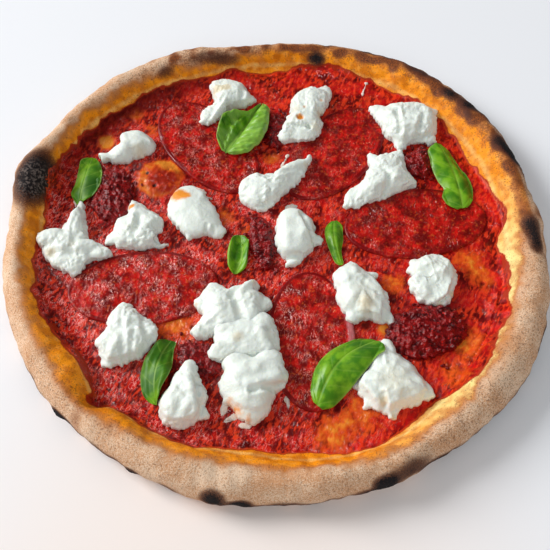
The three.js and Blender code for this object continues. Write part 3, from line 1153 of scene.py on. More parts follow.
@dataclass
class Crust:
    """The baked crust with its rim."""

    node: str = "crust"
    rim_cuts: int = 3
    long_edge: float = 2.2  # edges of the rim over this length are cut
    rim_from: float = -0.3  # how far inside the edge of the sauce the fine skin starts
    foot: float = 1.0  # edges that lie lower stay whole
    burn_range: float = 30.0  # a burnt patch farther off than this is left out
    relief: tuple[Relief, ...] = (
        Relief(Grain.LUMPS, 24, 1.1, 1),
        Relief(Grain.FOLDS, 15, 0.5, 2),
        Relief(Grain.LUMPS, 6, 0.55, 3),
        Relief(Grain.LUMPS, 2.2, 0.16, 3),
    )
    char_relief: Relief = Relief(Grain.LUMPS, 1.6, 0.4, 4)
    burns: tuple[Burn, ...] = (
        Burn((-143.6, 37.7, 22), 29, 19, 1.0, 2.2),
        Burn((-141, 38, 22), 34, 24, 0.25),
        Burn((-30.9, -155, 13), 10, 9, 1.0, 1.0),
        Burn((-17, -157, 10), 8, 5, 0.9, 0.5),
        Burn((55, -147, 14), 10, 8, 1.1, 1.4),
        Burn((68, -141, 15), 22, 10, 0.62),
        Burn((113, 108, 19), 12, 8, 0.9),
        Burn((122, 97, 20), 11, 7, 0.75),
        Burn((122, 89, 19), 6, 4, 0.5),
        Burn((139, 66, 21), 12, 9, 0.85),
        Burn((145, 57, 19), 12, 8, 0.9),
        Burn((149, 4, 20), 12, 9, 0.9),
        Burn((151, -8, 20), 11, 8, 0.85),
        Burn((28, 143.5, 13), 8, 6, 0.7),
        Burn((27, 144, 13), 15, 11, 0.35),
        Burn((-31, 142, 13), 16, 7, 0.5),
        Burn((-45, 142, 16), 20, 8, 0.5),
        Burn((-72, 130, 15), 11, 8, 0.5),
        Burn((-62, 152, 17), 6, 5, 1.2, 1.8),
        Burn((35, 152, 13), 16, 6, 0.8),
        Burn((-115, -109, 8), 8, 5, 1.2, 1.6),
        Burn((-104, -119, 7), 9, 4, 1.0, 0.5),
        Burn((-73.5, -140, 8), 6, 5, 1.2, 1.4),
        Burn((20, -158, 5), 24, 5, 0.6),
        Burn((147, -60, 8), 28, 7, 0.6),
        Burn((66, 147, 14), 26, 6, 0.75),
        Burn((95, 127, 15), 22, 7, 0.8),
        Burn((128, 96, 15), 20, 7, 0.85),
        Burn((149, 50, 15), 18, 7, 0.8),
    )
    toasted: tuple[Arc, ...] = (
        Arc(48, 70, 1.5),
        Arc(106, 30, 0.9),
        Arc(138, 20, 0.3),
        Arc(350, 30, 0.35),
        Arc(318, 34, 0.3),
        Arc(230, 32, 0.5),
    )
    freckled: tuple[Arc, ...] = (
        Arc(312, 50, 0.4),
        Arc(225, 40, 0.35),
        Arc(105, 45, 0.9),
        Arc(40, 75, 1.0),
    )
    golden_reach: tuple[Arc, ...] = (
        Arc(55, 60, 0.08),
        Arc(140, 40, -0.15),
        Arc(102, 28, -0.14),
        Arc(222, 26, 0.14),
        Arc(270, 60, -0.1),
        Arc(345, 36, -0.2),
    )
    underside: float = 2.0  # what lies lower is underneath
    golden_base: float = 0.44
    golden_fade: float = 0.32
    floury: tuple[Arc, ...] = (
        Arc(195, 100, 1.0),
        Arc(140, 40, 0.8),
        Arc(270, 70, 0.6),
        Arc(315, 60, 0.5),
        Arc(350, 30, 0.5),
        Arc(104, 34, 0.6),
    )
    dents: tuple[Fold, ...] = (
        Fold(-88, -97, -95, -104, 7, -4.0),
        Fold(-110, -76, -100, -90, 10, 2.4),
        Fold(-84, -111, -70, -122, 9, 1.2),
        Fold(131, -42, 150, -48, 9, -1.5),
        Fold(134, -20, 136, 0, 9, 1.2),
        Fold(20, -138, 40, -133, 8, -1.2),
        Fold(60, 122, 72, 115, 7, -1.6),
        Fold(25, 134, 32, 134, 6, 1.2),
    )
    pale: tuple[Arc, ...] = (Arc(335, 50, 1.1),)
    singes: tuple[Arc, ...] = (
        Arc(312, 60, 0.75),
        Arc(225, 40, 0.6),
        Arc(270, 40, 0.25),
    )  # along its lower outside

    def build(self, nodes: dict[str, bpy.types.Object], ruler: RimRuler, sauce: "Sauce") -> Form:
        """Makes the crust.

        Args:
            nodes: The frame's solids.
            ruler: What says where the rim is.
            sauce: The sauce that stains it.

        Returns:
            The crust's form, for others to lie on.
        """
        form = rounded(merged_copy(nodes[self.node]), 2)
        rim = [
            edge
            for edge in form.edges
            if edge.calc_length() > self.long_edge * MM
            and ruler.across((edge.verts[0].co + edge.verts[1].co) / (2 * MM)) > self.rim_from
            and max(vertex.co.z for vertex in edge.verts) > self.foot * MM
        ]
        bmesh.ops.subdivide_edges(form, edges=rim, cuts=self.rim_cuts, use_grid_fill=True)
        sculpt(form, lambda place, normal: self.lift(place, ruler))
        paint(form, "char", lambda place, normal: self.charred(place) + self.singed(place, ruler))
        paint(form, "golden", lambda place, normal: self.golden(place, normal, ruler))
        paint(form, "toast", lambda place, normal: self.toast(place, ruler))
        paint(form, "freckle", lambda place, normal: self.freckles(place, ruler))
        paint(form, "pale", lambda place, normal: self.paleness(place, ruler))
        paint(form, "bare", lambda place, normal: 1 - self.flour(place, ruler))
        paint(form, "under", lambda place, normal: ease(self.underside, 0.2, place.z))
        paint(form, "stain", lambda place, normal: self.stained(place, normal, ruler, sauce))
        finished("crust_dough", form, CrustFinish().material(), [self.node])
        return form

    def near(self, place: Vector) -> list[Burn]:
        """The burnt patches that can reach a place."""
        return [
            burn
            for burn in self.burns
            if (burn.middle[0] - place.x) ** 2 + (burn.middle[1] - place.y) ** 2 < self.burn_range**2
        ]

    def charred(self, place: Vector) -> float:
        """How burnt the crust is at a place."""
        return min(sum(burn.dark * burn.share(place) for burn in self.near(place)), 1.0)

    def singed(self, place: Vector, ruler: RimRuler) -> float:
        """How singed the crust is low on its outside.

        Args:
            place: Where.
            ruler: What says where the rim is.

        Returns:
            The share.
        """
        low = ease(14.0, 7.0, place.z) * ease(0.76, 0.94, ruler.across(place))
        amount = 0.3 + arcs_at(self.singes, place)
        patches = min(max(0.6 + 1.2 * noise.noise(place / 14), 0.0), 1.0)
        return amount * low * patches * ease(0.2, 1.5, place.z)

    def lift(self, place: Vector, ruler: RimRuler) -> float:
        """How far the surface stands out from the solid at a place, in millimetres.

        Args:
            place: Where.
            ruler: What says where the rim is.

        Returns:
            The distance.
        """
        raised = ease(0.5, 4.5, place.z) * ease(-0.25, 0.1, ruler.across(place))
        if raised == 0:
            return 0.0
        bulge = sum(burn.bulge * burn.share(place) for burn in self.near(place))
        crags = self.charred(place) * self.char_relief.at(place)
        dents = sum(dent.at(place) for dent in self.dents)
        return raised * (bulge + crags + dents + relief_at(self.relief, place))

    def golden(self, place: Vector, normal: Vector, ruler: RimRuler) -> float:
        """How golden the crust is at a place: most by the sauce, none outside.

        Args:
            place: Where.
            normal: The way the surface faces there.
            ruler: What says where the rim is.

        Returns:
            The share.
        """
        reach = self.golden_base + arcs_at(self.golden_reach, place)
        reach += 0.1 * noise.noise(place / 9)
        share = ease(reach + self.golden_fade, reach - self.golden_fade, ruler.across(place))
        return share * ease(2, 5, place.z) * ease(-0.3, 0.2, normal.z)

    def paleness(self, place: Vector, ruler: RimRuler) -> float:
        """How pale the golden part of the crust is at a place."""
        edge = 0.35 * hill(ruler.across(place) - 0.06, 0.08)
        return min(edge + arcs_at(self.pale, place), 1.0)

    def flour(self, place: Vector, ruler: RimRuler) -> float:
        """How much flour is left at a place: on stretches of the rim, all round its outside and underneath.

        Args:
            place: Where.
            ruler: What says where the rim is.

        Returns:
            The share.
        """
        if place.z < self.underside:
            return 0.75
        outside = 0.8 * ease(0.6, 0.85, ruler.across(place))
        return min(outside + arcs_at(self.floury, place), 1.0)

    def stained(self, place: Vector, normal: Vector, ruler: RimRuler, sauce: "Sauce") -> float:
        """How much the sauce has stained the crust at a place: all under it, and a little beyond its edge.

        Args:
            place: Where.
            normal: The way the surface faces there.
            ruler: What says where the rim is.
            sauce: The sauce.

        Returns:
            The share.
        """
        if place.z < self.underside or normal.z < 0:
            return 0.0
        across = ruler.across(place)
        if abs(across) > 0.4:
            return float(across < 0)
        return ease(-1.4, 0.2, sauce.inside(place * MM, ruler))

    def freckles(self, place: Vector, ruler: RimRuler) -> float:
        """How thick the brown freckles are at a place: most on the crown, in loose patches."""
        patches = 0.8 + 0.8 * noise.noise(place / 16)
        return arcs_at(self.freckled, place) * patches * ease(0.15, 0.5, ruler.across(place))

    def toast(self, place: Vector, ruler: RimRuler) -> float:
        """How toasted the crust is at a place: in patches, most along the crown.

        Args:
            place: Where.
            ruler: What says where the rim is.

        Returns:
            The share.
        """
        amount = arcs_at(self.toasted, place)
        patches = 0.55 + 1.1 * noise.noise(place / 9 + Vector((3, 1, 4)))
        across = ruler.across(place)
        crown = max(hill(across - 0.55, 0.4), 0.75 * ease(0.4, 0.7, across))
        return min(max(amount * patches * crown, 0.0), 1.0)


@dataclass(frozen=True)
class Patch:
    """A round patch seen from above: its middle, its reach and how strong it is."""

    x: float
    y: float
    reach: float
    amount: float = 1.0

    def share(self, place: Vector) -> float:
        """How strong the patch is at a place."""
        return self.amount * hill(math.hypot(place.x - self.x, place.y - self.y), self.reach)


def patches_at(patches: Sequence[Patch], place: Vector) -> float:
    """How strong patches are together at a place."""
    return sum(patch.share(place) for patch in patches)


@dataclass
class Sauce:
    """The tomato sauce, a wet film that thins out up the dough."""

    node: str = "sauce"
    cell: float = 0.9
    overhang: float = 3.0  # how far the film runs on inside the dough
    dip: float = 0.5  # how steeply it does
    thinning: float = 6.0  # how far inside its edge the film starts to thin
    bottom: float = 4.0
    relief: tuple[Relief, ...] = (
        Relief(Grain.LUMPS, 8, 0.5, 5),
        Relief(Grain.LUMPS, 3.4, 0.36, 6),
        Relief(Grain.CREASES, 2.4, 0.24, 7),
    )
    edge_wave: tuple[Relief, ...] = (Relief(Grain.LUMPS, 13, 2.2, 8), Relief(Grain.LUMPS, 5, 1.2, 8))
    bubble: tuple[float, float, float] = (-71.0, 47.5, 16.5)
    edge_shift: tuple[Arc, ...] = (
        Arc(0, 7, -5.0),
        Arc(7, 9, 3.5),
        Arc(30, 12, -2.5),
        Arc(72, 10, 3.0),
        Arc(93, 11, -4.0),
        Arc(162, 16, 3.5),
        Arc(200, 26, 5.5),
        Arc(246, 14, 2.5),
        Arc(276, 16, -4.0),
        Arc(303, 12, -2.0),
        Arc(334, 24, 7.5),
        Arc(320, 11, 5.5),
    )  # how far its edge lies outside the solid's
    notches: tuple[Patch, ...] = (Patch(-97, -104, 9, 7.0),)  # where it runs out into the rim
    bubble_relief: Relief = Relief(Grain.CURDS, 3.0, 0.5, 9)
    scald: Patch = Patch(-67.5, 44.5, 16, 1.6)  # the redder side of the bubble
    craters: tuple[Patch, ...] = (Patch(-79, 51, 2.6), Patch(-74, 41.5, 2.4), Patch(-66, 54, 1.6, 0.7))
    rim_shade_side: Arc = Arc(132, 44, 1.0)  # along which it is painted dark under the rim: cooked sauce with the rim's painted shadow
    # where the sauce is painted darker: painted shade beside the leaves and cheese and in the notch of the
    # rim, with cooked sauce
    dark: tuple[Patch, ...] = (
        Patch(-50, -84, 14, 0.7),
        Patch(2, 92, 12, 0.7),
        Patch(0, 70, 9, 0.4),
        Patch(-93, 30, 18, 0.5),
        Patch(-5, -4, 16, 0.4),
        Patch(-99, -103, 8, 0.9),
        Patch(51, -55, 4, 1.4),
        Patch(-30, -22, 10, 0.3),
    )
    melts: tuple[Patch, ...] = (
        Patch(113, -12, 14, 0.8),
        Patch(120, -23, 12, 0.6),
        Patch(68, -27, 12, 0.7),
        Patch(106, -66, 16, 0.85),
        Patch(97, -86, 16, 0.6),
        Patch(30, -119, 17, 0.8),
        Patch(46, -108, 19, 0.7),
        Patch(-55, -54, 18, 0.75),
        Patch(-107, 77, 9, 1.5),
        Patch(-79, 86, 11, 0.5),
        Patch(-90, 101, 10, 0.7),
        Patch(-2, 64, 9, 0.7),
        Patch(-30, 19, 11, 0.55),
        Patch(-16, 9, 11, 0.5),
        Patch(61, -57, 7, 1.0),
        Patch(-66, 57, 9, 0.6),
    )

    def build(self, nodes: dict[str, bpy.types.Object], ruler: RimRuler, ground: Ground) -> Form:
        """Makes the sauce.

        Args:
            nodes: The frame's solids.
            ruler: What says where the sauce ends.
            ground: The dough that it lies on.

        Returns:
            The sauce's form, for others to lie on.
        """
        solid = BVHTree.FromBMesh(rounded(merged_copy(nodes[self.node]), 2))
        low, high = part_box(self.node)
        reach = max(high.x - low.x, high.y - low.y) / 2 + self.overhang * MM
        middle = (low + high) / 2
        form = bmesh.new()
        count = round(2 * reach / (self.cell * MM))
        bmesh.ops.create_grid(form, x_segments=count, y_segments=count, size=reach)
        bmesh.ops.translate(form, verts=form.verts, vec=Vector((middle.x, middle.y, 0)))
        outer = [vertex for vertex in form.verts if self.inside(vertex.co, ruler) < -self.overhang]
        bmesh.ops.delete(form, geom=outer, context="VERTS")
        for vertex in form.verts:
            vertex.co.z = self.level(vertex.co, solid, ruler, ground)
        form.normal_update()
        border = [edge for edge in form.edges if edge.is_boundary]
        skirt = bmesh.ops.extrude_edge_only(form, edges=border)["geom"]
        for part in skirt:
            if isinstance(part, bmesh.types.BMVert):
                part.co.z = self.bottom * MM
        rim = [edge for edge in form.edges if edge.is_boundary]
        bmesh.ops.triangle_fill(form, edges=rim, use_beauty=True, use_dissolve=False)
        bmesh.ops.recalc_face_normals(form, faces=form.faces)
        paint(form, "melt", lambda place, normal: self.melted(place))
        # painted shade with cooked sauce
        paint(form, "dark", lambda place, normal: self.cooked_and_shaded(place, ruler))
        paint(form, "blister", lambda place, normal: self.scald.share(place))
        paint(form, "thin", lambda place, normal: ease(1.5, 0.0, self.inside(place * MM, ruler)))
        paint(form, "dry", lambda place, normal: self.dryness(place, ruler))
        paint(form, "pit", lambda place, normal: patches_at(self.craters, place))
        finished("tomato_sauce", form, SauceFinish().material(), [self.node])
        return form

    def inside(self, place: Vector, ruler: RimRuler) -> float:
        """How far inside the sauce's edge a place is.

        Args:
            place: Where, in metres.
            ruler: What says where the solid's edge is.

        Returns:
            The distance in millimetres, below zero outside the edge.
        """
        flat = place.to_2d().to_3d() / MM
        edge = ruler.edge(bearing(place)) + relief_at(self.edge_wave, flat)
        edge += arcs_at(self.edge_shift, place)
        return edge + patches_at(self.notches, flat) - flat.length

    def cooked_and_shaded(self, place: Vector, ruler: RimRuler) -> float:
        """How dark the sauce is painted at a place, for cooked sauce and painted shade: most under the rim at
        the upper left.
        """
        by_rim = ease(20, 4, self.inside(place * MM, ruler)) * self.rim_shade_side.share(bearing(place))
        return min(by_rim + patches_at(self.dark, place), 1.0)

    def dryness(self, place: Vector, ruler: RimRuler) -> float:
        """How little a place shines: by the rim on the right, on the bubble and where it is painted dark for
        cooked sauce and shade.
        """
        by_rim = ease(9, 2, self.inside(place * MM, ruler)) * ease(20, 80, place.x)
        return max(by_rim, 0.7 * self.on_bubble(place), 0.85 * self.cooked_and_shaded(place, ruler))

    def on_bubble(self, place: Vector) -> float:
        """How much of the bubble is at a place."""
        x, y, reach = self.bubble
        return ease(reach, reach - 4, math.hypot(place.x - x, place.y - y))

    def melted(self, place: Vector) -> float:
        """How much melted fat is at a place.

        Args:
            place: Where.

        Returns:
            The share, over 1 where patches meet.
        """
        x, y, _ = self.bubble
        bubble = self.on_bubble(place)
        ring = ease(4, 11, math.hypot(place.x - x, place.y - y)) * bubble
        return patches_at(self.melts, place) + 0.35 * bubble + 0.4 * ring

    def level(self, place: Vector, solid: BVHTree, ruler: RimRuler, ground: Ground) -> float:
        """The height of the sauce's surface at a place, in metres.

        Args:
            place: Where, in metres.
            solid: The frame's solid of the sauce.
            ruler: What says where its edge is.
            ground: The dough under it.

        Returns:
            The height.
        """
        flat = place.to_2d().to_3d() / MM
        inside = self.inside(place, ruler)
        dough = ground.height(place)
        hit = solid.ray_cast(Vector((place.x, place.y, OVERHEAD)), DOWN)[0]
        depth = hit.z - dough if hit is not None else 0.0
        bubble = self.on_bubble(flat)
        uneven = (1 - 0.7 * bubble) * relief_at(self.relief, flat) + bubble * self.bubble_relief.at(flat)
        uneven -= 0.8 * patches_at(self.craters, flat)
        film = ease(-0.5, self.thinning, inside)
        pulp = uneven * ease(-0.5, 2.5, inside) + 0.4 * film
        return dough + film * depth + (pulp - self.dip * max(-inside, 0.0)) * MM


@dataclass
class SalamiSlice:
    """An oval slice of salami that lies on the sauce."""

    number: int
    x: float
    y: float
    heading: float
    fatty: bool = False
    length: float = 88.0
    width: float = 50.0
    casing: float = 2.8
    sink: float = 0.8
    relief: tuple[Relief, ...] = (
        Relief(Grain.LUMPS, 14, 0.8, 11),
        Relief(Grain.LUMPS, 5, 0.4, 12),
        Relief(Grain.CREASES, 2.6, 0.25, 13),
    )

    def build(self, nodes: dict[str, bpy.types.Object], ground: Ground, finish: bpy.types.Material) -> Form:
        """Makes the slice.

        Args:
            nodes: The frame's solids.
            ground: What the slice lies on.
            finish: Its material.

        Returns:
            The slice's form, for others to lie on.
        """
        name = f"salami_{self.number}"
        form = rounded(merged_copy(nodes[name]), 3)
        top = [face for face in form.faces if face.normal.z > 0.3]
        edges = {edge for face in top for edge in face.edges}
        bmesh.ops.subdivide_edges(form, edges=list(edges), cuts=1, use_grid_fill=True)
        settle(form, ground, self.sink)
        sculpt(form, self.lift)
        paint(form, "casing", lambda place, normal: self.cased(place))
        paint(form, "fat", lambda place, normal: self.fat(place))
        finished(f"{name}_slice", form, finish, [name])
        return form

    def own(self, place: Vector) -> Vector:
        """A place along and across the slice."""
        turn = Matrix.Rotation(math.radians(-self.heading), 2)
        return turn @ Vector((place.x - self.x, place.y - self.y))

    def inset(self, place: Vector) -> float:
        """How far inside the slice's outline a place is.

        Args:
            place: Where.

        Returns:
            The distance.
        """
        own = self.own(place)
        along, across = own.x / (self.length / 2), own.y / (self.width / 2)
        out = math.hypot(along, across)
        slope = math.hypot(along / (self.length / 2), across / (self.width / 2))
        return (1 - out) * out / max(slope, 1e-6)

    def cased(self, place: Vector) -> float:
        """How much of the smooth edge is at a place."""
        return ease(self.casing + 0.5, self.casing - 0.5, self.inset(place))

    def lift(self, place: Vector, normal: Vector) -> float:
        """How far the surface stands out, in millimetres: uneven inside a smooth raised edge.

        Args:
            place: Where.
            normal: The way the surface faces there.

        Returns:
            The distance.
        """
        inset = self.inset(place)
        uneven = ease(0.4, self.casing + 1.0, inset) * relief_at(self.relief, place)
        dish = -0.2 * ease(self.casing - 1, self.casing + 3, inset)
        return (uneven + dish) * ease(0.2, 0.7, normal.z)

    def fat(self, place: Vector) -> float:
        """How much of the band of fat is at a place.

        Args:
            place: Where.

        Returns:
            The share.
        """
        if not self.fatty:
            return 0.0
        own = self.own(place)
        length = ease(-34, -26, own.x) * ease(30, 22, own.x)
        return hill(self.inset(place) - 3.0, 3.4) * ease(-4, -12, own.y) * length


@dataclass
class SausageHeap:
    """A heap of crumbled soft sausage."""

    number: int
    cell: float = 0.5
    sink: float = 1.0
    grains: int = 20  # to each square centimetre of its skin
    smallest: float = 0.5
    largest: float = 2.0
    crumbs: int = 90  # loose ones round it
    strewn: float = 9.0  # how far they reach
    relief: tuple[Relief, ...] = (Relief(Grain.LUMPS, 3.5, 0.5, 23), Relief(Grain.LUMPS, 1.1, 0.3, 24))

    def build(self, nodes: dict[str, bpy.types.Object], ground: Ground, finish: bpy.types.Material) -> Form:
        """Makes the heap.

        Args:
            nodes: The frame's solids.
            ground: What the heap lies on.
            finish: Its material.

        Returns:
            The heap's form, for others to lie on.
        """
        name = f"sausage_{self.number}"
        form = rounded(merged_copy(nodes[name]), 2)
        self.add_grains(form)
        self.add_crumbs(form, ground)
        form = even_skin(form, self.cell)
        settle(form, ground, self.sink)
        sculpt(form, lambda place, normal: relief_at(self.relief, place) * ease(-0.4, 0.2, normal.z))
        finished(f"{name}_heap", form, finish, [name])
        return form

    def add_grains(self, form: Form) -> None:
        """Sets grains all over the heap's skin, which an even skin joins to it later.

        Args:
            form: The heap.
        """
        chance = random.Random(self.number)
        skin = [(face.calc_center_median(), face.normal.copy(), face.calc_area()) for face in form.faces]
        weights = [area for centre, normal, area in skin]
        count = round(sum(weights) / (10 * MM) ** 2 * self.grains)
        for centre, normal, area in chance.choices(skin, weights, k=count):
            radius = (self.smallest + (self.largest - self.smallest) * chance.random() ** 2) * MM
            angle = chance.uniform(0, math.tau)
            turn = Matrix.Rotation(angle, 4, Vector((chance.random(), chance.random(), 1)))
            size = Matrix.Diagonal((radius * chance.uniform(0.8, 1.5), radius, radius * 0.8, 1))
            place = Matrix.Translation(centre + normal * radius * chance.uniform(-0.2, 0.4))
            bmesh.ops.create_icosphere(form, subdivisions=1, radius=1.0, matrix=place @ turn @ size)

    def add_crumbs(self, form: Form, ground: Ground) -> None:
        """Scatters loose crumbs round the heap, closer together by its side than farther off.

        Args:
            form: The heap.
            ground: What they lie on.
        """
        chance = random.Random(100 + self.number)
        sides = [face for face in form.faces if abs(face.normal.z) < 0.5]
        spots = [(face.calc_center_median(), face.normal.copy()) for face in sides]
        for centre, normal in chance.choices(spots, k=self.crumbs):
            radius = chance.uniform(0.6, 1.4) * MM
            away = normal.to_2d().to_3d().normalized() * self.strewn * chance.random() ** 1.6 * MM
            place = centre + away
            place.z = ground.height(place) + radius * 0.4
            turn = Matrix.Rotation(chance.uniform(0, math.tau), 4, "Z")
            size = Matrix.Diagonal((radius * chance.uniform(1.0, 1.8), radius, radius, 1))
            matrix = Matrix.Translation(place) @ turn @ size
            bmesh.ops.create_icosphere(form, subdivisions=1, radius=1.0, matrix=matrix)


@dataclass(frozen=True)
class Knob:
    """A rounded lobe of a torn piece: its middle, its length, width and height, and the way it points."""

    x: float
    y: float
    z: float
    length: float
    width: float
    height: float
    heading: float = 0.0

    def add_to(self, form: Form) -> None:
        """Adds the lobe to a form that gets an even skin later.

        Args:
            form: The form.
        """
        size = Matrix.Diagonal((self.length / 2, self.width / 2, self.height / 2, 1))
        turn = Matrix.Rotation(math.radians(self.heading), 4, "Z")
        place = Matrix.Translation((self.x, self.y, self.z))
        matrix = Matrix.Scale(MM, 4) @ place @ turn @ size
        bmesh.ops.create_icosphere(form, subdivisions=3, radius=1.0, matrix=matrix)


@dataclass
class BurrataPiece:
    """A torn piece of burrata."""

    number: int
    curdy: float = 1.0
    tips: tuple[tuple[float, float], ...] = ()
    sharp: bool = False  # whether its tips are drawn out to points
    knobs: tuple[Knob, ...] = ()
    folds: tuple[Fold, ...] = ()
    oil: tuple[Patch, ...] = ()
    # patches of creamy tint: cream-coloured curd, and painted shade in folds and hollows
    cream: tuple[Patch, ...] = ()
    cell: float = 0.55
    rounds: int = 4  # how often its skin is smoothed
    sink: float = 0.5
    hem: float = 1.4  # the height up to which the sauce wets it
    pull: float = 90.0  # the way its strands run
    stretch: float = 1.35  # how far they are drawn out
    ragged: tuple[Relief, ...] = (
        Relief(Grain.LUMPS, 3.2, 1.3, 35),
        Relief(Grain.LUMPS, 1.5, 0.7, 36),
    )  # of its hem
    swell: Relief = Relief(Grain.LUMPS, 10, 0.6, 31)
    curds: tuple[Relief, ...] = (
        Relief(Grain.LUMPS, 4.2, 0.5, 32),
        Relief(Grain.FOLDS, 3.0, 0.38, 33),
        Relief(Grain.LUMPS, 1.6, 0.4, 34),
    )

    def build(self, nodes: dict[str, bpy.types.Object], ground: Ground, finish: bpy.types.Material) -> Form:
        """Makes the piece.

        Args:
            nodes: The frame's solids.
            ground: What the piece lies on.
            finish: Its material.

        Returns:
            The piece's form, for others to lie on.
        """
        name = f"burrata_{self.number}"
        form = merged_copy(nodes[name])
        low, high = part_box(name)
        for knob in self.knobs + self.points((low + high) / (2 * MM), ground):
            knob.add_to(form)
        form = even_skin(form, self.cell)
        eased(form, self.rounds)
        settle(form, ground, self.sink)
        sculpt(form, self.lift)
        paint(form, "oil", lambda place, normal: patches_at(self.oil, place))
        # creamy tint: cream-coloured curd, and painted shade in folds and hollows
        paint(form, "cream", lambda place, normal: patches_at(self.cream, place))
        paint(form, "hem", lambda place, normal: self.wet(place, ground))
        finished(f"{name}_curd", form, finish, [name])
        return form

    def points(self, middle: Vector, ground: Ground) -> tuple[Knob, ...]:
        """The torn points as lobes that taper from the middle of the piece to each tip.

        Args:
            middle: The middle of the piece.
            ground: What the points lie on.

        Returns:
            The lobes.
        """
        made = []
        for x, y in self.tips:
            run = Vector((x - middle.x, y - middle.y))
            z = ground.height(Vector((x, y, 0)) * MM) / MM + 2.2
            length, heading = run.length, math.degrees(math.atan2(run.y, run.x))
            root, end = Vector((x, y)) - 0.4 * run, Vector((x, y)) - 0.14 * run
            made.append(Knob(root.x, root.y, z, 0.8 * length, max(6.0, 0.48 * length), 6.0, heading))
            if self.sharp:
                made.append(Knob(end.x, end.y, z - 0.3, 0.4 * length, max(3.2, 0.2 * length), 3.8, heading))
        return tuple(made)

    def lift(self, place: Vector, normal: Vector) -> float:
        """How far the surface stands out, in millimetres.

        Args:
            place: Where.
            normal: The way the surface faces there.

        Returns:
            The distance.
        """
        folds = sum(fold.at(place) for fold in self.folds) * ease(-0.1, 0.5, normal.z)
        torn = relief_at(self.ragged, place.to_2d().to_3d()) * ease(0.5, 0.0, normal.z)
        patchy = 0.35 + 0.65 * ease(-0.25, 0.3, noise.noise(place / 8 + Vector((self.number, 2, 5))))
        curds = self.curdy * patchy * relief_at(self.curds, self.drawn(place))
        return folds + torn + self.swell.at(place) + curds

    def drawn(self, place: Vector) -> Vector:
        """A place drawn together along the strands, so that relief read there is drawn out along them."""
        along = Vector((math.cos(math.radians(self.pull)), math.sin(math.radians(self.pull)), 0))
        return place - along * along.dot(place) * (1 - 1 / self.stretch)

    def wet(self, place: Vector, ground: Ground) -> float:
        """How much sauce clings to the piece at a place: most where it meets the ground."""
        above = place.z - ground.height(place * MM) / MM
        return ease(self.hem, 0.0, above)


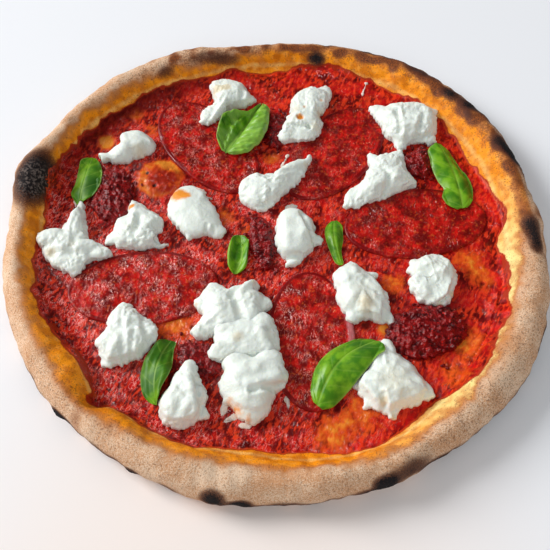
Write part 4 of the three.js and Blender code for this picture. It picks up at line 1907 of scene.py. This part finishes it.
@dataclass
class BasilLeaf:
    """A basil leaf, bent and cupped as it fell, with veins that lift it between them."""

    number: int
    x: float
    y: float
    length: float
    width: float
    heading: float
    left: tuple[tuple[float, float], ...]  # a share of the way from stem to tip, and its left half's width
    right: tuple[tuple[float, float], ...]
    profile: tuple[tuple[float, float], ...]  # a place across, -1 right to 1 left, and how far it rises there
    laid: float  # how long it lies
    shift: tuple[float, float] = (0, 0)  # how far it lies moved from the solid
    turn: float = 0.0  # and turned
    bow: float = 0.0  # how far the midrib bends to the left
    stem_end: float = 0.16  # the share of its length in which it narrows to its stem
    tip_end: float = 0.14
    shade: float = 0.0  # how much shade is painted on it, or below zero how much light
    painted_light_and_shade: tuple[Patch, ...] = ()  # patches of painted shade, or below zero of painted light
    veins: int = 5
    quilting: float = 0.35
    groove: float = 0.35
    ruffle: Relief = Relief(Grain.LUMPS, 5, 0.7, 41)
    thickness: float = 0.8

    def build(self, nodes: dict[str, bpy.types.Object], ground: Ground, finish: bpy.types.Material) -> None:
        """Makes the leaf.

        Args:
            nodes: The frame's solids.
            ground: What the leaf lies on.
            finish: Its material.
        """
        name = f"basil_{self.number}"
        form = rounded(merged_copy(nodes[name]), 4)
        form.normal_update()
        layers = form.verts.layers.float
        vein, hem, shade, pale = [layers.new(kind) for kind in ("vein", "hem", "shade", "pale")]
        for vertex in form.verts:
            own = self.own(vertex.co / MM)
            place = self.bent(own, vertex.co.z / MM, vertex.normal.z > 0, ground)
            vertex[vein] = self.vein(own)
            vertex[hem] = ease(0.86, 1.0, abs(own.y))
            # painted shade and painted light: the leaf's own share and its patches
            dark = self.shade + patches_at(self.painted_light_and_shade, place)
            vertex[shade] = min(max(dark, 0.0), 1.0)
            vertex[pale] = min(max(-dark, 0.0), 1.0)
            vertex.co = place * MM
        form.normal_update()
        finished(f"{name}_leaf", form, finish, [name])

    def own(self, place: Vector) -> Vector:
        """A place of the solid along and across it.

        Args:
            place: Where.

        Returns:
            The share along, -1 at its stem and 1 at its tip, and across, -1 to 1 at its sides.
        """
        turn = Matrix.Rotation(math.radians(-self.heading), 2)
        offset = turn @ Vector((place.x - self.x, place.y - self.y))
        along = min(max(offset.x / (self.length / 2), -1.0), 1.0)
        fullness = math.sin(math.pi * ((along + 1) / 2) ** 0.8) ** 0.75 if abs(along) < 1 else 0.0
        across = offset.y / (self.width / 2 * max(fullness, 0.14))
        return Vector((along, min(max(across, -1.0), 1.0)))

    def bent(self, own: Vector, height: float, upper: bool, ground: Ground) -> Vector:
        """Where a place of the leaf lies.

        Args:
            own: The place along and across the leaf.
            height: The height of the solid there.
            upper: Whether it is on the upper face.
            ground: What the leaf lies on.

        Returns:
            The place in millimetres.
        """
        share = (own.x + 1) / 2
        stem, tip = max(1 - share / self.stem_end, 0.0), max(1 - (1 - share) / self.tip_end, 0.0)
        ends = math.sqrt(max(1 - stem * stem, 0.0)) * math.sqrt(max(1 - tip * tip, 0.0))
        widths = self.left if own.y > 0 else self.right
        half = through(widths, share) * max(ends, 0.05)
        offset = Vector((own.x * self.laid / 2, own.y * half + self.bow * (1 - own.x * own.x)))
        offset.rotate(Matrix.Rotation(math.radians(self.heading + self.turn), 2))
        place = Vector((self.x + self.shift[0] + offset.x, self.y + self.shift[1] + offset.y, 0))
        under = height - (self.thickness if upper else 0.0)
        rise = through(self.profile, own.y) * half / max(width for _, width in widths) + self.quilt(own)
        rise += self.ruffle.at(place) * own.y * own.y
        floor = ground.height(place * MM) / MM + 0.3
        place.z = max(under + rise, floor) + height - under
        return place

    def between_veins(self, own: Vector) -> float:
        """How far a place is between two side veins, 0 on one and 1 on the next."""
        return ((own.x + 1) / 2 - 0.2 * abs(own.y) ** 1.2) * self.veins % 1

    def vein(self, own: Vector) -> float:
        """How much of a vein is at a place.

        Args:
            own: The place along and across the leaf.

        Returns:
            The share.
        """
        between = self.between_veins(own)
        side = hill(min(between, 1 - between), 0.07) * ease(1.0, 0.7, abs(own.y))
        middle = hill(own.y * self.width / 2, 0.9)
        return max(0.5 * side, middle)

    def quilt(self, own: Vector) -> float:
        """How far the leaf stands up between its veins, in millimetres.

        Args:
            own: The place along and across the leaf.

        Returns:
            The distance, below zero in the groove of the midrib.
        """
        swell = self.quilting * math.sin(math.pi * self.between_veins(own)) * ease(0.05, 0.35, abs(own.y))
        groove = self.groove * hill(own.y * self.width / 2, 1.6) * (1 - own.x**4)
        return swell * ease(1.0, 0.8, abs(own.y)) - groove


@dataclass
class Scraps:
    """Films of milk and shreds that lie about the torn cheese."""

    films: tuple[tuple[float, float, float, float, float], ...] = (
        (10, 26, 9, 4, 10),
        (7, -100, 2.5, 10, 5),
        (-27, -104, 4, 9, -20),
        (-23, -110, 9, 3.5, 25),
        (-16, -114, 7, 3, 5),
    )  # each a place, a length, a width and a heading
    shreds: tuple[tuple[float, float, float, float], ...] = (
        (60.8, 126.5, 57.7, 116.0),
        (8.4, 65.0, 2.6, 52.0),
        (-47.3, 36.8, -38.0, 31.5),
        (-122.0, 35.0, -121.0, 27.0),
    )  # each from one place to another
    cell: float = 0.35
    ragged: Relief = Relief(Grain.LUMPS, 3.0, 2.2, 51)

    def build(self, ground: Ground, finish: bpy.types.Material) -> None:
        """Makes the scraps.

        Args:
            ground: What they lie on.
            finish: Their material.
        """
        form = bmesh.new()
        for x, y, length, width, heading in self.films:
            Knob(x, y, self.level(x, y, ground) + 0.1, length, width, 1.0, heading).add_to(form)
        for x1, y1, x2, y2 in self.shreds:
            run = Vector((x2 - x1, y2 - y1))
            steps = math.ceil(run.length / 0.8)
            for step in range(steps + 1):
                spot = Vector((x1, y1)) + run * step / steps
                Knob(spot.x, spot.y, self.level(spot.x, spot.y, ground) + 0.4, 1.2, 0.9, 0.9).add_to(form)
        form = even_skin(form, self.cell)
        sculpt(form, lambda place, normal: self.ragged.at(place) * ease(0.7, 0.2, normal.z))
        paint(form, "oil", lambda place, normal: 0.12)
        paint(form, "cream", lambda place, normal: 0.4)
        paint(form, "hem", lambda place, normal: 0.62)
        finished("burrata_scraps", form, finish)

    @staticmethod
    def level(x: float, y: float, ground: Ground) -> float:
        """The height of the ground at a place, in millimetres."""
        return ground.height(Vector((x, y, 0)) * MM) / MM


SALAMI = (
    SalamiSlice(1, -75.4, -30.5, 4),
    SalamiSlice(2, -42.4, 73.5, 128),
    SalamiSlice(3, 37.6, 68.5, 52),
    SalamiSlice(4, 84.6, 14.5, 8),
    SalamiSlice(5, 20.6, -63.5, 92, fatty=True),
)

HEAPS = 6  # of sausage

BURRATA = (
    BurrataPiece(
        1,
        pull=100,
        sharp=True,
        tips=((-42, 124), (-13, 111), (-47, 91)),
        folds=(Fold(-22, 104, -21, 112, 3, -1.5), Fold(-30, 108, -29, 100, 3, -0.7)),
        cream=(Patch(-37, 115, 6, 1.2), Patch(-31, 115, 5, 1.1), Patch(-22, 103, 6, 0.5)),
    ),
    BurrataPiece(
        2,
        tips=((35.5, 122), (7, 94)),
        knobs=(Knob(7, 79, 10, 10, 10, 7),),
        folds=(
            Fold(9, 85, 18, 83, 2, -1.6),
            Fold(21, 84, 22, 83, 2.2, -3.0),
            Fold(16, 90, 17, 90, 3, -1.4),
            Fold(28, 100, 31, 88, 3, -0.6),
        ),
        oil=(Patch(16, 90, 4.5, 0.9), Patch(19, 99, 3, 0.5), Patch(30, 105, 3, 0.5), Patch(9, 93, 3, 0.4)),
        cream=(Patch(31, 95, 8, 0.9), Patch(22, 72, 6, 0.8), Patch(14, 98, 6, 0.6), Patch(26, 84, 6, 0.6)),
    ),
    BurrataPiece(
        3,
        pull=80,
        sharp=True,
        tips=((62, 103), (104, 99), (102, 75), (78, 70)),
        folds=(Fold(78, 95, 79, 79, 3, -1.4), Fold(95, 93, 91, 78, 3, -1.4), Fold(83, 94, 83, 90, 2.5, -0.6)),
        cream=(Patch(82, 92, 4, 0.4),),
    ),
    BurrataPiece(
        4,
        pull=60,
        sharp=True,
        tips=((79, 68), (60, 64), (85.5, 42), (43, 26)),
        folds=(Fold(66, 49, 70, 42, 3, -1.3), Fold(70, 42, 66, 30, 3, -1.4), Fold(59, 48, 57, 36, 4, 0.6)),
    ),
    BurrataPiece(
        5,
        rounds=30,
        pull=150,
        curdy=0.3,
        knobs=(Knob(-105.5, 62, 11, 12, 4, 4.5, 160),),
        folds=(Fold(-96, 76, -93, 66, 4, 0.8),),
        cream=(Patch(-84, 64, 10, 0.6),),
    ),
    BurrataPiece(
        6,
        pull=40,
        tips=((-11, 22),),
        knobs=(
            Knob(10, 44, 10.5, 26, 8, 6, 44),
            Knob(20, 58, 11, 12, 3.5, 3.6, 68),
            Knob(-3, 45, 10.5, 8, 6, 5, -30),
        ),
        folds=(Fold(-5, 42, -2, 40, 2, -2.0), Fold(-8, 28, -7, 24, 2.5, -0.8), Fold(12, 46, 16, 48, 3, 0.6)),
        cream=(Patch(20, 54, 5, 0.6),),
    ),
    BurrataPiece(
        7,
        rounds=30,
        pull=110,
        curdy=0.15,
        knobs=(
            Knob(-49, 19, 10.5, 34, 27, 9, -52),
            Knob(-50, 6, 8.5, 12, 5, 4, 70),
            Knob(-35, 8, 9, 14, 10, 6, -20),
        ),
        folds=(Fold(-41, 4, -40, 9, 2, -0.8), Fold(-36, 3, -36, 8, 2, -0.6)),
        oil=(Patch(-58, 31, 9, 1.0), Patch(-52, 29, 5, 0.5)),
    ),
    BurrataPiece(
        8,
        pull=100,
        sharp=True,
        tips=((-86, 28), (-99, 0), (-69, 16)),
        knobs=(Knob(-66, -2.5, 9, 9, 2.4, 3, 8), Knob(-83, 7, 10.5, 27, 22, 9, -30)),
        folds=(
            Fold(-80, 14, -82, 0, 3.5, -1.5),
            Fold(-84, 21, -74, 12, 4, 0.9),
            Fold(-67, 0, -69, -1, 2.5, -2.5),
        ),
        oil=(Patch(-85.5, 22, 4, 0.9),),
    ),
    BurrataPiece(
        9,
        rounds=30,
        pull=85,
        curdy=0.06,
        knobs=(
            Knob(12, 3, 12, 23, 31, 12, 8),
            Knob(25, 1.0, 9.0, 8, 8, 5),
            Knob(10, -15.0, 9, 10, 5, 5, 15),
        ),
        folds=(Fold(16, 16, 22, 1, 2.5, -1.2), Fold(22, 1, 24, -8, 2, -0.8), Fold(4, -14, 15, -12, 2, -1.4)),
    ),
    BurrataPiece(
        10,
        pull=100,
        tips=((-140, -1), (-115, -24)),
        knobs=(
            Knob(-116.5, 20, 10, 20, 4.5, 5, 95),
            Knob(-104, -8.5, 10, 18, 9, 6, -5),
            Knob(-121, -7, 10.5, 30, 26, 9, -25),
        ),
        folds=(
            Fold(-128, -11, -114, -12, 4, -1.6),
            Fold(-117, 4, -117, -6, 3.5, -1.0),
            Fold(-120, -21, -102, -11, 4, 0.8),
        ),
        cream=(Patch(-130, -10, 6, 0.8), Patch(-118, -6, 6, 0.5)),
    ),
    BurrataPiece(
        11,
        tips=((79, -13), (77, -18)),
        folds=(
            Fold(88, -28, 93, -32, 9, -3.5),
            Fold(103, -29, 99, -40, 2.4, -1.8),
            Fold(99, -40, 90, -45, 2.4, -1.8),
        ),
        cream=(Patch(101, -36, 4, 0.9), Patch(93, -44, 4, 0.9)),
    ),
    BurrataPiece(
        12,
        pull=110,
        tips=((44, -14), (34, -25), (65, -37), (42, -55)),
        curdy=0.5,
        knobs=(Knob(53, -24, 10, 14, 4, 4, 5), Knob(63.5, -50, 8.8, 13, 6, 4, 115)),
        folds=(
            Fold(47, -40, 54, -53, 7, 1.4),
            Fold(62, -44, 60, -55, 2.5, -1.6),
            Fold(39, -30, 46, -24, 4, 0.9),
            Fold(48, -30, 57, -38, 2.5, -0.7),
        ),
        oil=(Patch(56, -40, 4, 0.35),),
        cream=(Patch(51, -47, 9, 0.6), Patch(50, -38, 15, 0.4)),
    ),
    BurrataPiece(
        13,
        pull=75,
        tips=((-38, -30), (-10, -27), (-1, -42), (-46, -42)),
        curdy=0.7,
        knobs=(
            Knob(-41, -60, 11, 9.5, 9, 8),
            Knob(-35, -59, 11, 14, 8, 8, 20),
            Knob(-24, -48, 12, 34, 24, 11, -10),
        ),
        folds=(
            Fold(-23, -40, -17, -58, 4.5, -2.2),
            Fold(-33, -38, -29, -58, 6, 1.0),
            Fold(-13, -40, -11, -52, 4, 0.8),
            Fold(-30, -60, -22, -62, 3, -1.2),
        ),
        oil=(Patch(-44, -44, 4, 0.4),),
        cream=(Patch(-20, -50, 6, 0.4),),
    ),
    BurrataPiece(
        14,
        pull=20,
        tips=((-36, -77),),
        knobs=(
            Knob(-16, -66, 11.5, 36, 26, 12, -15),
            Knob(-7, -57, 11.5, 14, 16, 10),
            Knob(-26, -60, 11.5, 18, 14, 10, -10),
        ),
        curdy=0.6,
        folds=(
            Fold(-32, -72, -20, -66, 4, 0.8),
            Fold(-26, -81, -9, -77, 3, -2.0),
            Fold(-8, -60, -2, -76, 4, 0.8),
        ),
        cream=(Patch(-20, -67, 6, 0.7), Patch(-23, -80, 7, 0.9)),
    ),
    BurrataPiece(
        15,
        rounds=30,
        pull=20,
        tips=((8, -85), (7, -90)),
        knobs=(
            Knob(-10, -87, 12, 34, 20, 12, 5),
            Knob(-12, -104, 9.5, 20, 20, 10),
            Knob(-20, -80, 11.5, 18, 14, 10),
            Knob(-3, -78, 11.5, 16, 14, 10),
        ),
        curdy=0.25,
        folds=(Fold(7, -93, -12, -99, 3, -2.2), Fold(6, -89, -14, -95, 4, 1.2)),
        oil=(Patch(-24, -103, 5, 0.5), Patch(-20, -108, 6, 0.6), Patch(-14, -112, 5, 0.5)),
        cream=(Patch(-6, -102, 6, 0.4),),
    ),
    BurrataPiece(
        16,
        pull=70,
        tips=((-86, -41.5), (-65, -57), (-99, -67), (-93, -81)),
        folds=(
            Fold(-73, -54, -70, -66, 3, -1.4),
            Fold(-84, -57, -82, -78, 3, -0.9),
            Fold(-77, -62, -78, -76, 2.5, -0.9),
            Fold(-68, -57, -66, -64, 3, 0.8),
            Fold(-88, -72, -90, -82, 4, 0.6),
        ),
    ),
    BurrataPiece(
        17,
        pull=80,
        sharp=True,
        curdy=0.4,
        tips=((85, -98), (48, -104), (62, -110), (43, -92)),
        knobs=(Knob(61.5, -73, 10.5, 16, 9, 7, 95),),
        folds=(
            Fold(57, -72, 55, -80, 3, 0.8),
            Fold(61, -72, 62, -82, 3, -0.8),
            Fold(57, -100, 58, -105, 2.5, -1.5),
            Fold(52, -98, 54, -106, 3, 0.9),
            Fold(66, -104, 70, -107, 3, 0.9),
            Fold(47, -93, 50, -96, 3, 0.7),
            Fold(63, -108, 64, -112, 2.4, -1.2),
        ),
        cream=(Patch(57, -103, 4, 0.8), Patch(63, -111, 4, 0.8), Patch(63, -92, 19, 0.5)),
    ),
    BurrataPiece(
        18,
        pull=80,
        tips=((-35, -110.5), (-45, -79), (-62, -102.5)),
        curdy=0.7,
        folds=(Fold(-46, -85, -41, -112, 4, 1.2), Fold(-41, -92, -38, -108, 3, -1.4)),
        cream=(Patch(-58, -97, 5, 0.6),),
    ),
)

BASIL = (
    BasilLeaf(
        1,
        x=-19.4,
        y=87.5,
        length=42,
        width=32,
        heading=62,
        laid=47,
        shift=(-0.4, -0.8),
        left=(
            (0.0, 8), (0.13, 10.8), (0.3, 13.6), (0.45, 14.8), (0.56, 13.6),
            (0.63, 11), (0.68, 6.5), (0.72, 3.4), (0.8, 1.5), (1.0, 0),
        ),
        right=((0.0, 13), (0.14, 14.3), (0.3, 16.2), (0.45, 16.6), (0.62, 15.2), (0.8, 11.5), (1.0, 6)),
        profile=(
            (-1.0, 0.4), (-0.6, 3.0), (-0.2, 2.0), (0.02, -1.6),
            (0.25, 1.2), (0.5, -0.8), (0.75, 1.4), (1.0, 3.0),
        ),
        stem_end=0.16,
        tip_end=0.06,
        veins=8,
        quilting=0.9,
        groove=0.9,
        shade=-0.35,
        painted_light_and_shade=(Patch(-33, 88, 7, 1.1), Patch(-20, 92, 5, 1.0), Patch(-24, 84, 5, 0.6), Patch(-12, 94, 5, 0.5)),
        ruffle=Relief(Grain.LUMPS, 3.0, 1.8, 41),
    ),
    BasilLeaf(
        2,
        x=108.6,
        y=46.5,
        length=45,
        width=21,
        heading=117,
        laid=50,
        shift=(-0.6, 1.5),
        turn=-14,
        bow=-3.0,
        left=(
            (0.0, 8), (0.1, 10), (0.22, 12), (0.27, 11), (0.34, 9.4),
            (0.48, 11.4), (0.65, 12), (0.8, 10.6), (1.0, 8),
        ),
        right=((0.0, 7), (0.15, 8.5), (0.33, 9.6), (0.48, 8.6), (0.6, 6.6), (0.8, 5.8), (1.0, 5.5)),
        profile=((-1.0, -2.0), (-0.5, 0.4), (0.0, 1.0), (0.5, 1.0), (1.0, -1.0)),
        stem_end=0.12,
        tip_end=0.14,
        painted_light_and_shade=(Patch(118, 43, 9, 0.5), Patch(110, 28, 8, 0.4)),
    ),
    BasilLeaf(
        3,
        x=-115.4,
        y=47.5,
        length=33,
        width=19,
        heading=76,
        laid=36.5,
        shift=(-1.1, -1.5),
        turn=6,
        left=((0.0, 5), (0.1, 6), (0.2, 7.2), (0.4, 6.4), (0.6, 6.6), (0.85, 7.6), (1.0, 8)),
        right=(
            (0.0, 7), (0.12, 8.2), (0.25, 10), (0.43, 11),
            (0.62, 9.9), (0.78, 7.8), (0.93, 4.6), (1.0, 3),
        ),
        profile=((-1.0, -1.8), (-0.5, 0.1), (0.0, 1.6), (0.5, 0.6), (1.0, -1.0)),
        stem_end=0.24,
        tip_end=0.16,
        shade=0.1,
        veins=4,
        quilting=0.2,
        painted_light_and_shade=(Patch(-111, 40, 13, 0.9), Patch(-110, 53, 7, 0.5), Patch(-120, 46, 9, -0.5)),
    ),
    BasilLeaf(
        4,
        x=34.6,
        y=0.5,
        length=29,
        width=12,
        heading=278,
        laid=31.2,
        shift=(2.8, -0.5),
        turn=-2,
        bow=-2.0,
        left=((0.0, 6), (0.25, 5.8), (0.45, 5.6), (0.7, 3), (1.0, 1.5)),
        right=((0.0, 5.5), (0.3, 5.4), (0.63, 4), (0.88, 3.3), (1.0, 2.5)),
        profile=((-1.0, -0.8), (-0.4, 0.5), (0.0, 0.8), (0.4, 0.5), (1.0, -0.8)),
        stem_end=0.2,
        tip_end=0.08,
        veins=3,
        quilting=0.12,
        painted_light_and_shade=(Patch(40, 4, 7, 0.5),),
    ),
    BasilLeaf(
        5,
        x=-21.4,
        y=-8.5,
        length=25,
        width=13,
        heading=88,
        laid=27,
        shift=(-0.4, 0.3),
        turn=-3,
        bow=-3.0,
        left=((0.0, 5), (0.2, 7.2), (0.5, 9.2), (0.86, 6.8), (1.0, 5.5)),
        right=((0.0, 5), (0.2, 4.5), (0.5, 3.5), (0.86, 4.5), (1.0, 5)),
        profile=((-1.0, 0.0), (-0.5, 0.8), (0.0, 0.2), (0.4, -1.6), (0.8, 0.8), (1.0, 0.4)),
        stem_end=0.25,
        tip_end=0.25,
        veins=4,
        quilting=0.2,
        painted_light_and_shade=(Patch(-24, -10, 4.5, 0.5),),
    ),
    BasilLeaf(
        6,
        x=36.6,
        y=-83.5,
        length=50,
        width=26,
        heading=40,
        laid=50.6,
        shift=(2.9, -1.8),
        turn=8,
        bow=6.5,
        left=((0.0, 7), (0.15, 8), (0.3, 9.8), (0.5, 10.2), (0.7, 8.8), (0.85, 7.6), (1.0, 7)),
        right=((0.0, 8), (0.2, 11.5), (0.4, 14), (0.6, 14), (0.8, 11.4), (1.0, 9)),
        profile=((-1.0, -1.6), (-0.55, 0.8), (0.0, 1.2), (0.55, 0.8), (1.0, -1.6)),
        stem_end=0.12,
        tip_end=0.1,
        painted_light_and_shade=(Patch(49, -71, 13, 0.7), Patch(42, -84, 9, 0.3), Patch(36, -73, 5, 0.3)),
    ),
    BasilLeaf(
        7,
        x=-63.4,
        y=-82.5,
        length=40,
        width=20,
        heading=84,
        laid=38.6,
        shift=(3.4, -1.1),
        turn=-3,
        bow=4.0,
        left=((0.0, 5.5), (0.16, 7.5), (0.5, 8.8), (0.8, 7.4), (1.0, 6)),
        right=((0.0, 3), (0.15, 4.2), (0.43, 8.6), (0.7, 6.8), (0.9, 4), (1.0, 3)),
        profile=(
            (-1.0, -1.0), (-0.6, 0.4), (-0.3, 0.1), (0.05, 1.0),
            (0.35, 0.5), (0.65, 0.5), (1.0, -1.0),
        ),
        stem_end=0.1,
        tip_end=0.04,
        shade=0.7,
        veins=4,
        quilting=0.15,
        painted_light_and_shade=(Patch(-70, -82, 8, -0.2), Patch(-65, -100, 7, -0.7)),
    ),
)


def main() -> None:
    """Builds the pizza and its stage."""
    logging.basicConfig(level=logging.INFO, format="%(message)s")
    noise.seed_set(TWIST_SEED)
    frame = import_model()
    nodes = frame["nodes"]
    Stage().build()
    ruler = RimRuler(
        BVHTree.FromBMesh(rounded(merged_copy(nodes["crust"]), 1)),
        BVHTree.FromBMesh(merged_copy(nodes["sauce"])),
    )
    ground = Ground()
    sauce = Sauce()
    ground.lay(Crust().build(nodes, ruler, sauce))
    ground.lay(sauce.build(nodes, ruler, ground))
    meat = SalamiFinish().material()
    ground.lay(*[piece.build(nodes, ground, meat) for piece in SALAMI])  # all built before one is laid
    crumble = SausageFinish().material()
    ground.lay(*[SausageHeap(number).build(nodes, ground, crumble) for number in range(1, HEAPS + 1)])
    curd = BurrataFinish().material()
    ground.lay(*[piece.build(nodes, ground, curd) for piece in BURRATA])
    Scraps().build(ground, curd)
    leaf = BasilFinish().material()
    for piece in BASIL:
        piece.build(nodes, ground, leaf)


if __name__ == "__main__":
    main()
